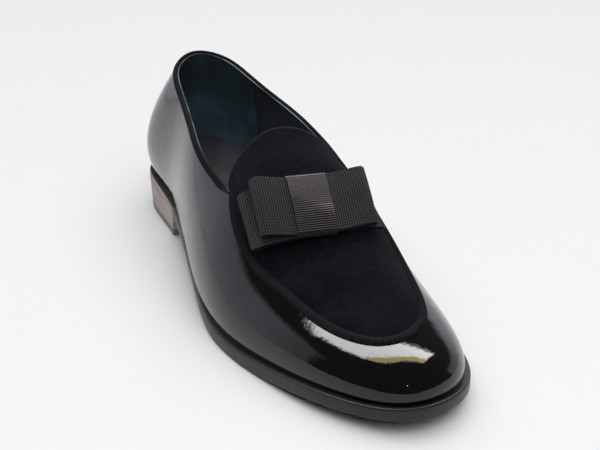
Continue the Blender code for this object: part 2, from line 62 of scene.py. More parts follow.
# Sections of the last, heel to toe, as in the solids
SECTION_COLUMNS = (
    "lat_x", "lat_y", "med_x", "med_y", "feather", "crown_y", "lat_rise", "med_rise",
    "lat_flare", "med_flare", "lat_reach", "med_reach", "lat_wall", "med_wall", "ledge", "sole",
)
SECTIONS = {
    "heel_back": (-2.3, 152.6, -2.3, 152.6, 22.4, 94.0, 36.5, 36.5,
                  19.0, 19.0, 17.5, 17.5, 70.6, 70.6, 1.2, 5.0),
    "heel_turn": (-20.9, 144.4, 17.4, 143.6, 21.9, 90.0, 35.0, 34.0,
                  29.0, 20.0, 6.0, 11.0, 69.4, 69.4, 1.8, 5.0),
    "heel_side": (-27.5, 121.0, 26.0, 120.0, 21.1, 82.0, 34.5, 34.6,
                  25.0, 18.0, 5.2, 9.0, 62.0, 62.0, 2.6, 5.0),
    "seat_front": (-29.6, 88.3, 30.0, 89.0, 20.5, 67.0, 35.8, 37.2,
                   12.0, 14.0, 11.0, 13.5, 53.2, 53.2, 2.0, 5.0),
    "waist_back": (-34.3, 55.6, 29.4, 56.0, 19.0, 44.0, 37.0, 41.8,
                   7.8, 17.0, 14.9, 21.0, 48.4, 48.4, 0.7, 4.8),
    "waist": (-40.0, 22.7, 28.1, 21.0, 15.4, 16.0, 37.2, 43.0,
              8.9, 20.4, 18.9, 26.2, 46.1, 46.1, 0.3, 4.6),
    "instep": (-45.4, -11.7, 31.0, -14.0, 10.1, -15.0, 31.7, 35.9,
               12.7, 20.5, 20.9, 25.6, 48.8, 48.8, 0.5, 5.0),
    "joint": (-46.2, -47.7, 39.3, -48.9, 6.0, -43.0, 24.8, 24.0,
              18.0, 16.7, 21.2, 21.9, 35.8, 34.6, 2.4, 5.9),
    "toe_back": (-39.7, -82.9, 39.8, -82.9, 7.2, -62.0, 19.9, 15.8,
                 15.1, 12.3, 22.2, 22.0, 28.3, 29.4, 2.6, 5.9),
    "toe_side": (-29.4, -114.1, 32.8, -112.9, 9.8, -74.0, 17.4, 13.6,
                 12.2, 10.6, 27.0, 27.2, 23.3, 28.0, 2.6, 5.4),
    "toe_turn": (-15.8, -136.3, 19.6, -134.5, 11.6, -79.5, 17.2, 15.6,
                 11.0, 11.3, 30.0, 30.5, 24.3, 28.4, 2.6, 5.2),
    "toe_tip": (0.1, -143.7, 0.1, -143.7, 12.8, -81.0, 17.8, 17.8,
                10.4, 10.4, 31.0, 31.0, 27.6, 27.6, 2.6, 5.2),
}
TOE = len(SECTIONS) - 1
THROAT = 6

# Crown line along the top of the foot
CROWN_COLUMNS = ("y", "x", "z")
CROWN = (
    (-82.0, 2.0, 39.0),
    (-55.0, 0.6, 50.3),
    (-25.0, 0.5, 67.2),
    (5.0, 0.7, 75.4),
    (35.0, 0.4, 94.6),
    (65.0, 0.8, 107.4),
    (95.0, 0.8, 111.5),
)

# Wall and lining: depths under the outer surface, drops below the collar, and the foot's tuck
PATENT = 0.9
WALL_TUCK_IN = 0.6
WALL_TUCK_DOWN = 0.7
BACK_SEAM_DEPTH = 0.28
BACK_SEAM_WIDTH = 0.4
BACK_SEAM_PLACES = (0.006, 0.012, 0.02, 0.03, 0.045)
BACK_MM_PER_PLACE = 20.0
LINING_OUTSIDE = 0.95
LINING_INSIDE = 1.8
LINING_LIP = 1.3
LINING_SKIVE = 0.12
LINING_DROP = 0.4
HEEL_LINING = 0.35
HEEL_LINING_END = 2.3
HEEL_LINING_DROP = 0.5
HEEL_LINING_STAND = 0.05
HEEL_LINING_SINK = 0.1
LINING_EDGE_DROP = -0.1
LINING_EDGE_DEPTH = 1.6
LINING_EDGE_RADIUS = 0.32

# Apron, tongue and piping
APRON_WALL = 1.8
APRON_STAND = 0.8
APRON_EDGE_ROLL = 5.0
TONGUE_TOP = 5.29
TONGUE_POINT = 1.25
PIPING_RADIUS = 1.9
TONGUE_PIPING = 0.65
TONGUE_PIPING_END = 0.5
PIPING_HEIGHT = 1.75
PIPING_RISE = -0.2
PIPING_GAP = 0.3
APRON_GAP = 0.4
CROWN_MM_PER_PLACE = 34.0

# Collar binding: its folded section as (rise over the rim, stand off the wall), and its thin ends
BINDING_FOLD = (
    (-2.1, 0.10), (-2.1, 0.42), (-1.6, 0.66), (-0.9, 0.76),
    (-0.2, 0.76), (0.4, 0.55), (0.8, 0.10), (0.85, -0.35),
    (0.7, -0.80), (0.3, -1.10), (-0.2, -1.20), (-0.9, -1.22),
    (-1.2, -1.05), (-0.8, -0.92), (0.1, -0.90), (0.15, 0.10),
)
BINDING_RIBBED = 12
BINDING_END = 6.0
BINDING_TAPER = 0.25
BINDING_TIP = 0.3
BEFORE_THROAT = THROAT - 1e-6

# Heel, with fronts as places and a seam's half-width as a share of the stack
HEEL_TOP_FRONT = 3.5
HEEL_FOOT_FRONT = 3.2
HEEL_TOP_INSET = 0.2
HEEL_BACK_FOOT_INSET = 0.6
HEEL_FRONT_FOOT_INSET = 2.0
HEEL_LAYERS = 4
HEEL_SEAM = 0.012
HEEL_RIM = 0.4
TOP_PIECE = 4.0

# Sole and insole, with the line over the heel in metres: where it starts, its height and slope
SOLE_GAP = 0.3
SOLE_SLIT = 0.2
SOLE_ROUND = 0.9
SEAT_START = (0.066, 0.068)
SEAT_LINE = (0.0172, 0.0297)
SEAT_LINE_BLUR = 0.0002
INSOLE = 2.5
INSOLE_INSET = 1.9
INSOLE_SINK = 0.2
HEEL_PAD = 8.0
HEEL_PAD_FRONT = 45.0
HEEL_PAD_RUN = 95.0

# Painted shade on the sock under the apron, and where it fades in metres
SOCK_PAINTED_SHADE = 0.25
PAINTED_SHADE_FADE = (0.050, 0.100)

# Bow: lengths, and the loops' lean, flare and tilt in degrees
BOW_X = -5.8
BOW_Y = -47.3
BOW_SLOPE = 0.75
BOW_RIBBON_WIDTH = 26.5
RIBBON = 0.6
RIBBON_GAP = 0.3
LOOP_COLUMNS = ("half_length", "droop", "middle", "lobe", "lean", "flare", "tilt", "shift", "offset",
                "dip", "sag")
LOOPS = {
    "bow_lower": (29.2, 5.0, 3.0, 4.6, -1.8, 4.2, -2.0, 2.0, -1.1, 0.0, 0.0),
    "bow_upper": (26.0, 3.0, 3.0, 6.0, 4.0, 0.0, 1.5, 0.0, 0.0, 1.9, 2.0),
}
KNOT_X = -2.2
KNOT_WIDTH = 17.6
KNOT_CORNER = 1.1
KNOT_SWELL = 0.9
KNOT_WRAP = 0.55
KNOT_SMOOTH = 0.15
SATIN_THREAD = 0.5
LOOP_PINCH = 0.42
BOW_SEAT_MARGIN = 1.5
BOW_SEAT_FRONT = 9.0
BOW_SEAT_FOOT = 0.55
BOW_SEAT_STATIONS = 31

# Fineness of the meshes
SECTION_STEPS = 16
SOLE_COLUMNS = 25
ROUND_STEPS = 5
HEEL_STATIONS = 81
HEEL_COLUMNS = 41
SOCK_COLUMNS = 65
WALL_ROWS = 61
LINING_ROWS = 41
LINING_SECTION_STEPS = 8
HEEL_LINING_STATIONS = 73
EDGE_STATIONS = 481
EDGE_SIDES = 10
APRON_DOME = 60
APRON_STATIONS = 141
APRON_COLUMNS = 97
PIPING_DOME = 80
PIPING_STATIONS = 161
PIPING_SIDES = 18
COLLAR_STATIONS = 801
STEPS_PER_RIB = 4
LOOP_STATIONS = 241
LOOP_FACES = (29, 9)
KNOT_FACES = (25, 7)
CORNER_STEPS = 9
SHARP_ANGLE = 40.0

# Camera fitted to the photo, in millimetres and degrees
CAMERA_AZIMUTH = -22.2
CAMERA_ELEVATION = 20.7
CAMERA_DISTANCE = 490.9
CAMERA_TARGET = np.array([-6.4, -37.8, 45.0])
CAMERA_ROLL = 0.7
CAMERA_LENS = 68.31
CAMERA_SENSOR = 36.0
CAMERA_CLIP = 0.01

# Edges of the white room in degrees: turn from the heel to the inner side, and lift over the floor
ROOM_OUTER_EDGE = (-74.0, -67.0)
ROOM_OUTER_FADE = (-68.0, -52.0)
ROOM_OUTER_SHARE = 0.6
ROOM_INNER_EDGE = (88.0, 94.0)
ROOM_INNER_FADE = (50.0, 72.0)
ROOM_INNER_SHARE = 0.65
ROOM_TOP_TURN = (20.0, 60.0)
ROOM_TOP_LIFT = (32.0, 17.0)
ROOM_TOP_BLUR = 4.0

# Ceiling panel and its warm near rim, on a plane one unit up: across the foot, and behind it
PANEL_NEAR = 0.23
PANEL_OUTER_LINE = (0.10, -0.68)
PANEL_INNER_LINE = (-0.36, 0.76)
PANEL_OUTER_END = (-1.25, -0.65)
PANEL_INNER_END = (1.45, 1.70)
PANEL_BLUR = 0.045
PANEL_FAR = (0.55, 0.68)
PANEL_RIM = (0.33, 0.36)
FLATTEST = 0.15

# Floor and lights in metres
FLOOR_HALF = 4.0
FRONT_LIGHT_PLACE = (-0.17, -0.97, 0.72)
FRONT_LIGHT_SIZE = (0.05, 0.07)
SOFTBOX_PLACE = (0.0, 0.35, 3.0)
SOFTBOX_SIZE = (6.0, 6.5)
FILL_PLACE = (-0.3, -2.2, 2.2)
FILL_SIZE = (3.0, 2.0)


# Limits of the settings
COLOUR = {"min": 0.0, "max": 1.0, "subtype": "COLOR"}
RIB_PITCH = {"min": 0.0004, "max": 0.002, "unit": "LENGTH"}
RIB_DEPTH = {"min": 0.0, "max": 0.0005, "unit": "LENGTH"}
BRIGHTNESS = {"min": 0.0, "max": 50.0}
POWER = {"min": 0.0, "max": 500.0, "unit": "POWER"}


class LoaferSizes(bpy.types.PropertyGroup):
    """Fine sizes of the trims, which the frame doesn't fix."""

    trim_rib: FloatProperty(
        name="Trim rib", description="Distance between the ribs of the piping and the collar binding",
        default=0.00088, **RIB_PITCH)
    bow_rib: FloatProperty(
        name="Bow rib", description="Distance between the ribs of the bow's ribbon",
        default=0.00106, **RIB_PITCH)
    knot_rib: FloatProperty(
        name="Knot rib", description="Distance between the ribs of the band round the bow's middle",
        default=0.00098, **RIB_PITCH)
    rib_depth: FloatProperty(
        name="Rib depth", description="Depth of a rib from crest to groove",
        default=0.00030, **RIB_DEPTH)
    layer_groove: FloatProperty(
        name="Layer groove", description="Depth of the grooves between the layers of the heel",
        default=0.00022, **RIB_DEPTH)


class LoaferColours(bpy.types.PropertyGroup):
    """Base colours of the finishes."""

    patent: FloatVectorProperty(
        name="Patent leather", description="Colour of the glossy wall",
        default=(0.0016, 0.0015, 0.0014), **COLOUR)
    suede: FloatVectorProperty(
        name="Suede", description="Colour of the apron and tongue",
        default=(0.0038, 0.0042, 0.0058), **COLOUR)
    grosgrain: FloatVectorProperty(
        name="Bow grosgrain", description="Colour of the bow's ribbon",
        default=(0.0145, 0.0145, 0.0180), **COLOUR)
    trims: FloatVectorProperty(
        name="Trim grosgrain", description="Colour of the piping and the collar binding",
        default=(0.0105, 0.0105, 0.0132), **COLOUR)
    satin: FloatVectorProperty(
        name="Satin ribbon", description="Colour of the band round the bow's middle",
        default=(0.0155, 0.0122, 0.0138), **COLOUR)
    lining: FloatVectorProperty(
        name="Heel lining", description="Colour of the leather inside the heel",
        default=(0.056, 0.088, 0.112), **COLOUR)
    front_lining: FloatVectorProperty(
        name="Front lining", description="Colour of the lining ahead of the heel",
        default=(0.043, 0.048, 0.060), **COLOUR)
    lining_edge: FloatVectorProperty(
        name="Lining edge", description="Colour of the lining's cut edge under the binding",
        default=(0.19, 0.24, 0.26), **COLOUR)
    sock: FloatVectorProperty(
        name="Sock", description="Colour of the leather on the insole",
        default=(0.044, 0.046, 0.052), **COLOUR)
    sole: FloatVectorProperty(
        name="Sole", description="Colour of the stained sole edge",
        default=(0.009, 0.009, 0.0105), **COLOUR)
    stack: FloatVectorProperty(
        name="Heel stack", description="Colour of the stacked leather heel",
        default=(0.36, 0.315, 0.292), **COLOUR)
    rubber: FloatVectorProperty(
        name="Heel rubber", description="Colour of the heel's top piece",
        default=(0.235, 0.207, 0.192), **COLOUR)


class LoaferStage(bpy.types.PropertyGroup):
    """Floor and light."""

    floor: FloatVectorProperty(
        name="Floor", description="Colour of the floor",
        default=(0.80, 0.80, 0.81), **COLOUR)
    room: FloatProperty(
        name="Room", description="Brightness of the white room behind the shoe",
        default=0.92, **BRIGHTNESS)
    room_tint: FloatVectorProperty(
        name="Room tint", description="Colour of the room's light",
        default=(0.91, 0.89, 1.0), **COLOUR)
    dark: FloatProperty(
        name="Dark side", description="Brightness of the room on the camera's side",
        default=0.10, **BRIGHTNESS)
    panel: FloatProperty(
        name="Panel", description="Brightness of the ceiling panel",
        default=10.6, **BRIGHTNESS)
    rim: FloatVectorProperty(
        name="Panel rim", description="Colour of the ceiling panel's near rim",
        default=(0.55, 0.42, 0.12), **COLOUR)
    backdrop: FloatVectorProperty(
        name="Backdrop", description="Colour of the backdrop behind the floor",
        default=(0.88, 0.88, 0.89), **COLOUR)
    softbox: FloatProperty(
        name="Softbox", description="Power of the overhead softbox",
        default=178.0, **POWER)
    fill: FloatProperty(
        name="Fill", description="Power of the softbox on the camera's side",
        default=46.0, **POWER)
    front_light: FloatProperty(
        name="Front light", description="Power of the small light beside the camera",
        default=0.3, **POWER)


class NaturalSpline:
    """A smooth open curve through values at given stations."""

    def __init__(self, stations, values):
        self.stations = np.asarray(stations, float)
        self.values = np.asarray(values, float)
        count = len(self.stations)
        steps = np.diff(self.stations)
        rises = np.diff(self.values) / steps
        matrix = np.eye(count)
        turn = np.zeros(count)
        for i in range(1, count - 1):
            matrix[i, i - 1:i + 2] = steps[i - 1], 2.0 * (steps[i - 1] + steps[i]), steps[i]
            turn[i] = 6.0 * (rises[i] - rises[i - 1])
        self.bends = np.linalg.solve(matrix, turn)

    def span(self, queries):
        queries = np.asarray(queries, float)
        lower = np.clip(np.searchsorted(self.stations, queries) - 1, 0, len(self.stations) - 2)
        step = self.stations[lower + 1] - self.stations[lower]
        before = (self.stations[lower + 1] - queries) / step
        return lower, step, before, 1.0 - before

    def __call__(self, queries):
        lower, step, before, after = self.span(queries)
        straight = before * self.values[lower] + after * self.values[lower + 1]
        bend = (before**3 - before) * self.bends[lower] + (after**3 - after) * self.bends[lower + 1]
        return straight + bend * step**2 / 6.0

    def slope(self, queries):
        lower, step, before, after = self.span(queries)
        straight = (self.values[lower + 1] - self.values[lower]) / step
        bend = (3.0 * after**2 - 1.0) * self.bends[lower + 1] - (3.0 * before**2 - 1.0) * self.bends[lower]
        return straight + bend * step / 6.0


class PeriodicSpline(NaturalSpline):
    """A smooth closed curve through values at whole places."""

    def __init__(self, values):
        self.count = len(values)
        unit = np.eye(self.count)
        matrix = 4.0 * unit + np.roll(unit, 1, axis=0) + np.roll(unit, -1, axis=0)
        turn = np.roll(values, -1) - 2.0 * values + np.roll(values, 1)
        bends = np.linalg.solve(matrix, 6.0 * turn)
        self.stations = np.arange(self.count + 1.0)
        self.values = np.append(values, values[0])
        self.bends = np.append(bends, bends[0])

    def __call__(self, places):
        return super().__call__(np.asarray(places, float) % self.count)


class Last:
    """The form that the shoe is made on."""

    SMALL_STEP = 0.002
    NEAR_CROWN = 0.99
    LENGTH_STEPS = 121

    def __init__(self):
        column = dict(zip(SECTION_COLUMNS, np.array(list(SECTIONS.values())).T))
        self.splines = {}
        for name in ("x", "y", "rise", "flare", "reach"):
            around = np.concatenate([column["lat_" + name], column["med_" + name][-2:0:-1]])
            self.splines[name] = PeriodicSpline(around)
        for name in ("feather", "crown_y", "ledge", "sole"):
            around = np.concatenate([column[name], column[name][-2:0:-1]])
            self.splines[name] = PeriodicSpline(around)
        lateral = column["lat_wall"]
        medial = column["med_wall"]
        round_heel = np.arange(-THROAT, THROAT + 1)
        round_toe = np.arange(THROAT, 2 * TOE - THROAT + 1)
        collar = np.concatenate([medial[THROAT:0:-1], lateral[:THROAT + 1]])
        seam = np.concatenate([lateral[THROAT:], medial[-2:THROAT - 1:-1]])
        self.collar = NaturalSpline(round_heel, collar)
        self.seam = NaturalSpline(round_toe, seam)
        crown = dict(zip(CROWN_COLUMNS, np.array(CROWN).T))
        self.crown_x = NaturalSpline(crown["y"], crown["x"])
        self.crown_z = NaturalSpline(crown["y"], crown["z"])

    def value(self, name, places):
        return self.splines[name](places)

    def outward(self, places):
        """Level unit directions out from the feather outline."""
        along_x = self.value("x", places + self.SMALL_STEP) - self.value("x", places - self.SMALL_STEP)
        along_y = self.value("y", places + self.SMALL_STEP) - self.value("y", places - self.SMALL_STEP)
        length = np.hypot(along_x, along_y)
        return np.stack([along_y / length, -along_x / length], axis=-1)

    def outline(self, places, outset):
        """Plan points at an outset from the feather line."""
        feather = np.stack([self.value("x", places), self.value("y", places)], axis=-1)
        return feather + np.asarray(outset)[..., None] * self.outward(places)

    def controls(self, places):
        """The four Bezier points of the wall section at each place."""
        foot = np.stack([self.value(name, places) for name in ("x", "y", "feather")], axis=-1)
        crown_y = self.value("crown_y", places)
        crown = np.stack([self.crown_x(crown_y), crown_y, self.crown_z(crown_y)], axis=-1)
        flare = np.radians(self.value("flare", places))[..., None]
        rise = self.value("rise", places)[..., None]
        lean = np.sin(flare) * self.outward(places)
        shoulder = foot + rise * np.concatenate([lean, np.cos(flare)], axis=-1)
        plan = (foot - crown)[..., :2]
        plan = plan / np.linalg.norm(plan, axis=-1, keepdims=True)
        fall = self.crown_z.slope(crown_y) * plan[..., 1]
        level = np.concatenate([plan, fall[..., None]], axis=-1)
        return foot, shoulder, crown + self.value("reach", places)[..., None] * level, crown

    def point(self, places, climbs):
        """Points of the outer surface."""
        foot, shoulder, brow, crown = self.controls(places)
        up = np.asarray(climbs, float)[..., None]
        down = 1.0 - up
        return down**3 * foot + 3.0 * down**2 * up * shoulder + 3.0 * down * up**2 * brow + up**3 * crown

    def normal(self, places, climbs):
        step = self.SMALL_STEP
        climbs = np.minimum(climbs, self.NEAR_CROWN)
        along = self.point(places + step, climbs) - self.point(places - step, climbs)
        upward = self.point(places, climbs + step) - self.point(places, climbs - step)
        out = np.cross(along, upward)
        return out / np.linalg.norm(out, axis=-1, keepdims=True)

    def raised(self, places, climbs, stand):
        """Points that stand off the outer surface."""
        stand = np.broadcast_to(np.asarray(stand, float), np.shape(climbs))
        return self.point(places, climbs) + stand[..., None] * self.normal(places, climbs)

    def climb_at(self, places, lengths):
        """The climb at a length measured up the wall from the feather line."""
        climbs = np.linspace(0.0, 1.0, self.LENGTH_STEPS)
        points = self.point(np.broadcast_to(places[:, None], (len(places), len(climbs))),
                            np.broadcast_to(climbs, (len(places), len(climbs))))
        steps = np.linalg.norm(np.diff(points, axis=1), axis=-1)
        runs = np.concatenate([np.zeros((len(places), 1)), np.cumsum(steps, axis=1)], axis=1)
        return np.array([np.interp(length, run, climbs) for length, run in zip(lengths, runs)])

    def wall_length(self, places):
        """Length of the wall up to the collar behind the throat, or to the apron seam before it."""
        places = np.asarray(places, float) % (2 * TOE)
        behind = np.where(places > TOE, places - 2 * TOE, places)
        return np.where(np.abs(behind) < THROAT, self.collar(behind), self.seam(places))

    def tread(self, places):
        """Height of the sole's underside, flat on the floor under the joint of the foot."""
        underside = self.value("feather", places) - SOLE_GAP - self.value("sole", places)
        return np.maximum(underside, 0.0)


LAST = Last()


class Piece:
    """A mesh gathered from grids of points in millimetres, with values for its material."""

    def __init__(self, name):
        self.name = name
        self.points = []
        self.values = []
        self.faces = []
        self.count = 0

    def place(self, points, values=None):
        """Takes in points with their values; returns their vertex numbers."""
        points = np.asarray(points, float)
        given = np.zeros(points.shape) if values is None else np.broadcast_to(values, points.shape)
        index = self.count + np.arange(points.size // 3).reshape(points.shape[:-1])
        self.points.append(points.reshape(-1, 3))
        self.values.append(given.reshape(-1, 3))
        self.count += index.size
        return index

    def grid(self, points, close_rows=False, close_columns=False, flipped=False, values=None):
        """Quads over a grid, facing along rows crossed with columns; returns its vertex numbers."""
        index = self.place(points, values)
        here = index if close_rows else index[:-1]
        beyond = np.roll(index, -1, axis=0) if close_rows else index[1:]
        if close_columns:
            quads = (here, beyond, np.roll(beyond, -1, axis=1), np.roll(here, -1, axis=1))
        else:
            quads = (here[:, :-1], beyond[:, :-1], beyond[:, 1:], here[:, 1:])
        order = quads[::-1] if flipped else quads
        self.faces.extend(np.stack(order, axis=-1).reshape(-1, 4).tolist())
        return index

    def ring(self, loops):
        """Quads between loops of vertex numbers, each loop once round, top first."""
        for upper, lower in zip(loops, loops[1:]):
            quads = (np.roll(upper, 1), upper, lower, np.roll(lower, 1))
            self.faces.extend(np.stack(quads, axis=-1).tolist())

    def cap_ends(self, index):
        """One face over each end of a tube's grid of vertex numbers."""
        self.faces.extend([index[0].tolist(), index[-1, ::-1].tolist()])

    def finish(self, material, slot, replaced):
        """The object, welded and smooth, riding on its body in place of the nodes that it replaces."""
        points = (np.concatenate(self.points) + FRAME_SHIFT) * METRES_PER_MM
        data = bpy.data.meshes.new(self.name)
        data.from_pydata(points.tolist(), [], self.faces)
        if data.validate():
            raise ValueError(self.name + " has faces that don't hold together")
        store = data.attributes.new("lay", "FLOAT_VECTOR", "POINT")
        store.data.foreach_set("vector", np.concatenate(self.values).astype(np.float32).ravel())
        shape = bmesh.new()
        shape.from_mesh(data)
        bmesh.ops.remove_doubles(shape, verts=shape.verts, dist=WELD)
        shape.to_mesh(data)
        shape.free()
        data.shade_smooth()
        data.set_sharp_from_angle(angle=np.radians(SHARP_ANGLE))
        data.materials.append(material)
        made = bpy.data.objects.new(self.name, data)
        bpy.context.scene.collection.objects.link(made)
        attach(made, BODY)
        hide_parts(*replaced)


def border(grid):
    """The border of a grid of vertex numbers or points, once round."""
    return np.concatenate([grid[0, :-1], grid[:-1, -1], grid[-1, :0:-1], grid[:0:-1, 0]])


def run_length(points, closed=False):
    """Distance along points, from 0; a closed run ends where it began."""
    path = np.concatenate([points, points[:1]]) if closed else points
    steps = np.linalg.norm(np.diff(path, axis=0), axis=1)
    return np.concatenate([[0.0], np.cumsum(steps)])


def profile_normals(profile):
    """Unit directions out of a closed profile of (x, y) corners that runs clockwise."""
    along = np.roll(profile, -1, axis=0) - np.roll(profile, 1, axis=0)
    along = along / np.linalg.norm(along, axis=1, keepdims=True)
    return np.stack([-along[:, 1], along[:, 0]], axis=1)


class Socket:
    """A shader value that takes part in sums; each operation adds a Math node."""

    def __init__(self, nodes, socket):
        self.nodes = nodes
        self.socket = socket

    def sum(self, operation, first, second):
        return self.nodes.add("ShaderNodeMath", {"operation": operation}, {0: first, 1: second})

    def __add__(self, other):
        return self.sum("ADD", self, other)

    def __sub__(self, other):
        return self.sum("SUBTRACT", self, other)

    def __rsub__(self, other):
        return self.sum("SUBTRACT", other, self)

    def __mul__(self, other):
        return self.sum("MULTIPLY", self, other)

    def __truediv__(self, other):
        return self.sum("DIVIDE", self, other)

    __radd__ = __add__
    __rmul__ = __mul__

    def wave(self):
        """A cosine of the value, from -1 to 1."""
        return self.sum("COSINE", self, 0.0)

    def most(self, other):
        return self.sum("MAXIMUM", self, other)

    def ease(self, low, high, start=0.0, end=1.0):
        """A smooth step between two values."""
        settings = {"interpolation_type": "SMOOTHSTEP"}
        sockets = {"Value": self, "From Min": low, "From Max": high, "To Min": start, "To Max": end}
        return self.nodes.add("ShaderNodeMapRange", settings, sockets)


class Nodes:
    """The node tree of a material or of the world."""

    def __init__(self, tree):
        self.tree = tree

    def add(self, kind, settings, sockets, output=0):
        """One node: its settings first, then the values or links of its sockets; gives an output."""
        node = self.tree.nodes.new(kind)
        for name, value in settings.items():
            setattr(node, name, value)
        for name, value in sockets.items():
            self.feed(node.inputs[name], value)
        return Socket(self, node.outputs[output])

    def feed(self, socket, value):
        if isinstance(value, Socket):
            self.tree.links.new(value.socket, socket)
        elif socket.type == "RGBA" and len(value) == 3:
            socket.default_value = (*value, 1.0)
        else:
            socket.default_value = value

    def place(self):
        """Position on the object, in metres."""
        return self.add("ShaderNodeTexCoord", {}, {}, "Object")

    def parts(self, vector, axes="XYZ"):
        """The wanted axes of a vector, as sockets."""
        return [self.add("ShaderNodeSeparateXYZ", {}, {0: vector}, axis) for axis in axes]

    def lay(self):
        """The value that the piece's maker gave to each vertex, as three sockets."""
        return self.parts(self.add("ShaderNodeAttribute", {"attribute_name": "lay"}, {}, "Vector"))

    def noise(self, scale, detail=2.0, roughness=0.5, place=None):
        sockets = {"Scale": scale, "Detail": detail, "Roughness": roughness}
        sockets["Vector"] = self.place() if place is None else place
        return self.add("ShaderNodeTexNoise", {}, sockets, "Fac")

    def streaks(self, stretch, detail, roughness=0.5):
        """Noise drawn out by a different scale on each axis."""
        place = self.add("ShaderNodeMapping", {}, {"Vector": self.place(), "Scale": stretch})
        return self.noise(1.0, detail, roughness, place)

    def mix(self, share, first, second):
        """A colour between two colours."""
        return self.add("ShaderNodeMix", {"data_type": "RGBA"}, {0: share, 6: first, 7: second}, 2)

    def shades(self, share, colour, dark, light):
        """A colour between a darker and a lighter shade of it."""
        return self.mix(share, scaled(colour, dark), scaled(colour, light))

    def bump(self, height, distance):
        """A bump in metres."""
        sockets = {"Height": height, "Distance": distance, "Strength": 1.0}
        return self.add("ShaderNodeBump", {}, sockets, "Normal")


def scaled(colour, factor):
    """A colour made lighter or darker."""
    return tuple(min(1.0, channel * factor) for channel in colour)


class Finish(Nodes):
    """A material and the nodes that lead to its shader, whose constant values are set first."""

    def __init__(self, name, constants):
        self.material = bpy.data.materials.new(name)
        self.material.use_nodes = True
        super().__init__(self.material.node_tree)
        self.set(constants)

    def set(self, inputs):
        """Values or links for the shader's sockets."""
        shader = self.tree.nodes["Principled BSDF"]
        for name, value in inputs.items():
            self.feed(shader.inputs[name], value)


def patent_material(colour):
    """Black leather under a clear lacquer, with soft waves and a fine orange peel."""
    finish = Finish("patent_leather_finish", {"Specular IOR Level": 0.5})
    cloud = finish.noise(40.0, 3.0)
    waves = finish.noise(30.0, 1.0) + 0.25 * finish.noise(110.0, 1.0)
    peel = 0.20 * finish.noise(260.0, 2.0) + 0.04 * finish.noise(1000.0, 1.0)
    finish.set({
        "Base Color": finish.shades(cloud, colour, 0.8, 1.3),
        "Roughness": 0.015 + 0.03 * cloud,
        "Normal": finish.bump(waves + peel, 0.00025),
    })
    return finish.material


def suede_material(colour):
    """A fine brushed nap that lies in soft patches."""
    finish = Finish("suede_finish", {
        "Roughness": 1.0, "Specular IOR Level": 0.06,
        "Sheen Weight": 0.035, "Sheen Roughness": 0.45, "Sheen Tint": (0.75, 0.80, 0.95),
    })
    patch = finish.noise(60.0, 4.0)
    fleck = finish.noise(340.0, 3.0)
    fibre = finish.noise(2300.0, 2.0)
    shade = (0.35 * patch + 0.30 * fleck + 0.35 * fibre).ease(0.36, 0.64)
    nap = finish.noise(1500.0, 3.0) + 0.6 * finish.noise(4200.0, 2.0)
    finish.set({
        "Base Color": finish.shades(shade, colour, 0.45, 1.75),
        "Normal": finish.bump(nap, 0.00030),
    })
    return finish.material


def ribbon_material(name, colour, thread_pitch, thread_share, shine, gloss):
    """A ribbed ribbon: painted shade in the grooves between the ribs, a painted highlight on their crests,
    and fine threads that cross them.
    """
    finish = Finish(name, {
        "Specular IOR Level": gloss,
        "Sheen Weight": shine, "Sheen Roughness": 0.35, "Sheen Tint": (0.9, 0.9, 0.95),
    })
    crest, across, _ = finish.lay()
    thread = 0.5 + 0.5 * (across * (2.0 * np.pi / thread_pitch)).wave()
    fibre = finish.noise(1800.0, 2.0)
    # Painted shade in the grooves and a painted highlight on the crests: the base colour follows the ribs
    shade = (0.76 * crest.ease(0.3, 0.95) + thread_share * thread + 0.20 * fibre).ease(0.15, 1.1)
    finish.set({
        "Base Color": finish.shades(shade, colour, 0.04, 2.1),
        "Roughness": 0.80 - 0.22 * crest,
        "Normal": finish.bump(0.6 * thread + fibre, 0.00006),
    })
    return finish.material


def satin_material(colour):
    """A ribbed band with painted shade in the grooves towards the toe, a painted sheen that lightens its heel
    end and hides the ribs there, and painted shade on its face under the upper loop's edge.
    """
    finish = Finish("bow_satin_finish", {
        "Specular IOR Level": 0.5,
        "Sheen Weight": 0.06, "Sheen Roughness": 0.3, "Sheen Tint": (1.0, 0.9, 0.88),
    })
    crest, across, down = finish.lay()
    fibre = finish.noise(1500.0, 2.0)
    ribbed = (down - 0.045 * across + 0.35 * finish.noise(70.0)).ease(-0.10, 0.55)
    rib = 1.0 - ribbed * (1.0 - crest.ease(0.2, 0.8))
    # Painted sheen: the smooth heel end is drawn lighter; painted shade darkens the grooves of the ribs
    painted_sheen_and_rib_shade = (rib * (0.42 + 0.30 * fibre) + 0.45 * (1.0 - ribbed)).ease(0.06, 1.25)
    # Painted shade on the face under the upper loop's toe edge, marked by down values past 1
    painted_shade_under_loop = down.ease(1.05, 1.5)
    thread = (across * (2.0 * np.pi / SATIN_THREAD)).wave()
    finish.set({
        "Base Color": finish.shades(painted_sheen_and_rib_shade * (1.0 - 0.8 * painted_shade_under_loop), colour, 0.06, 2.0),
        "Roughness": 0.42 + 0.2 * ribbed,
        "Normal": finish.bump(0.3 * thread + fibre, 0.00004),
    })
    return finish.material


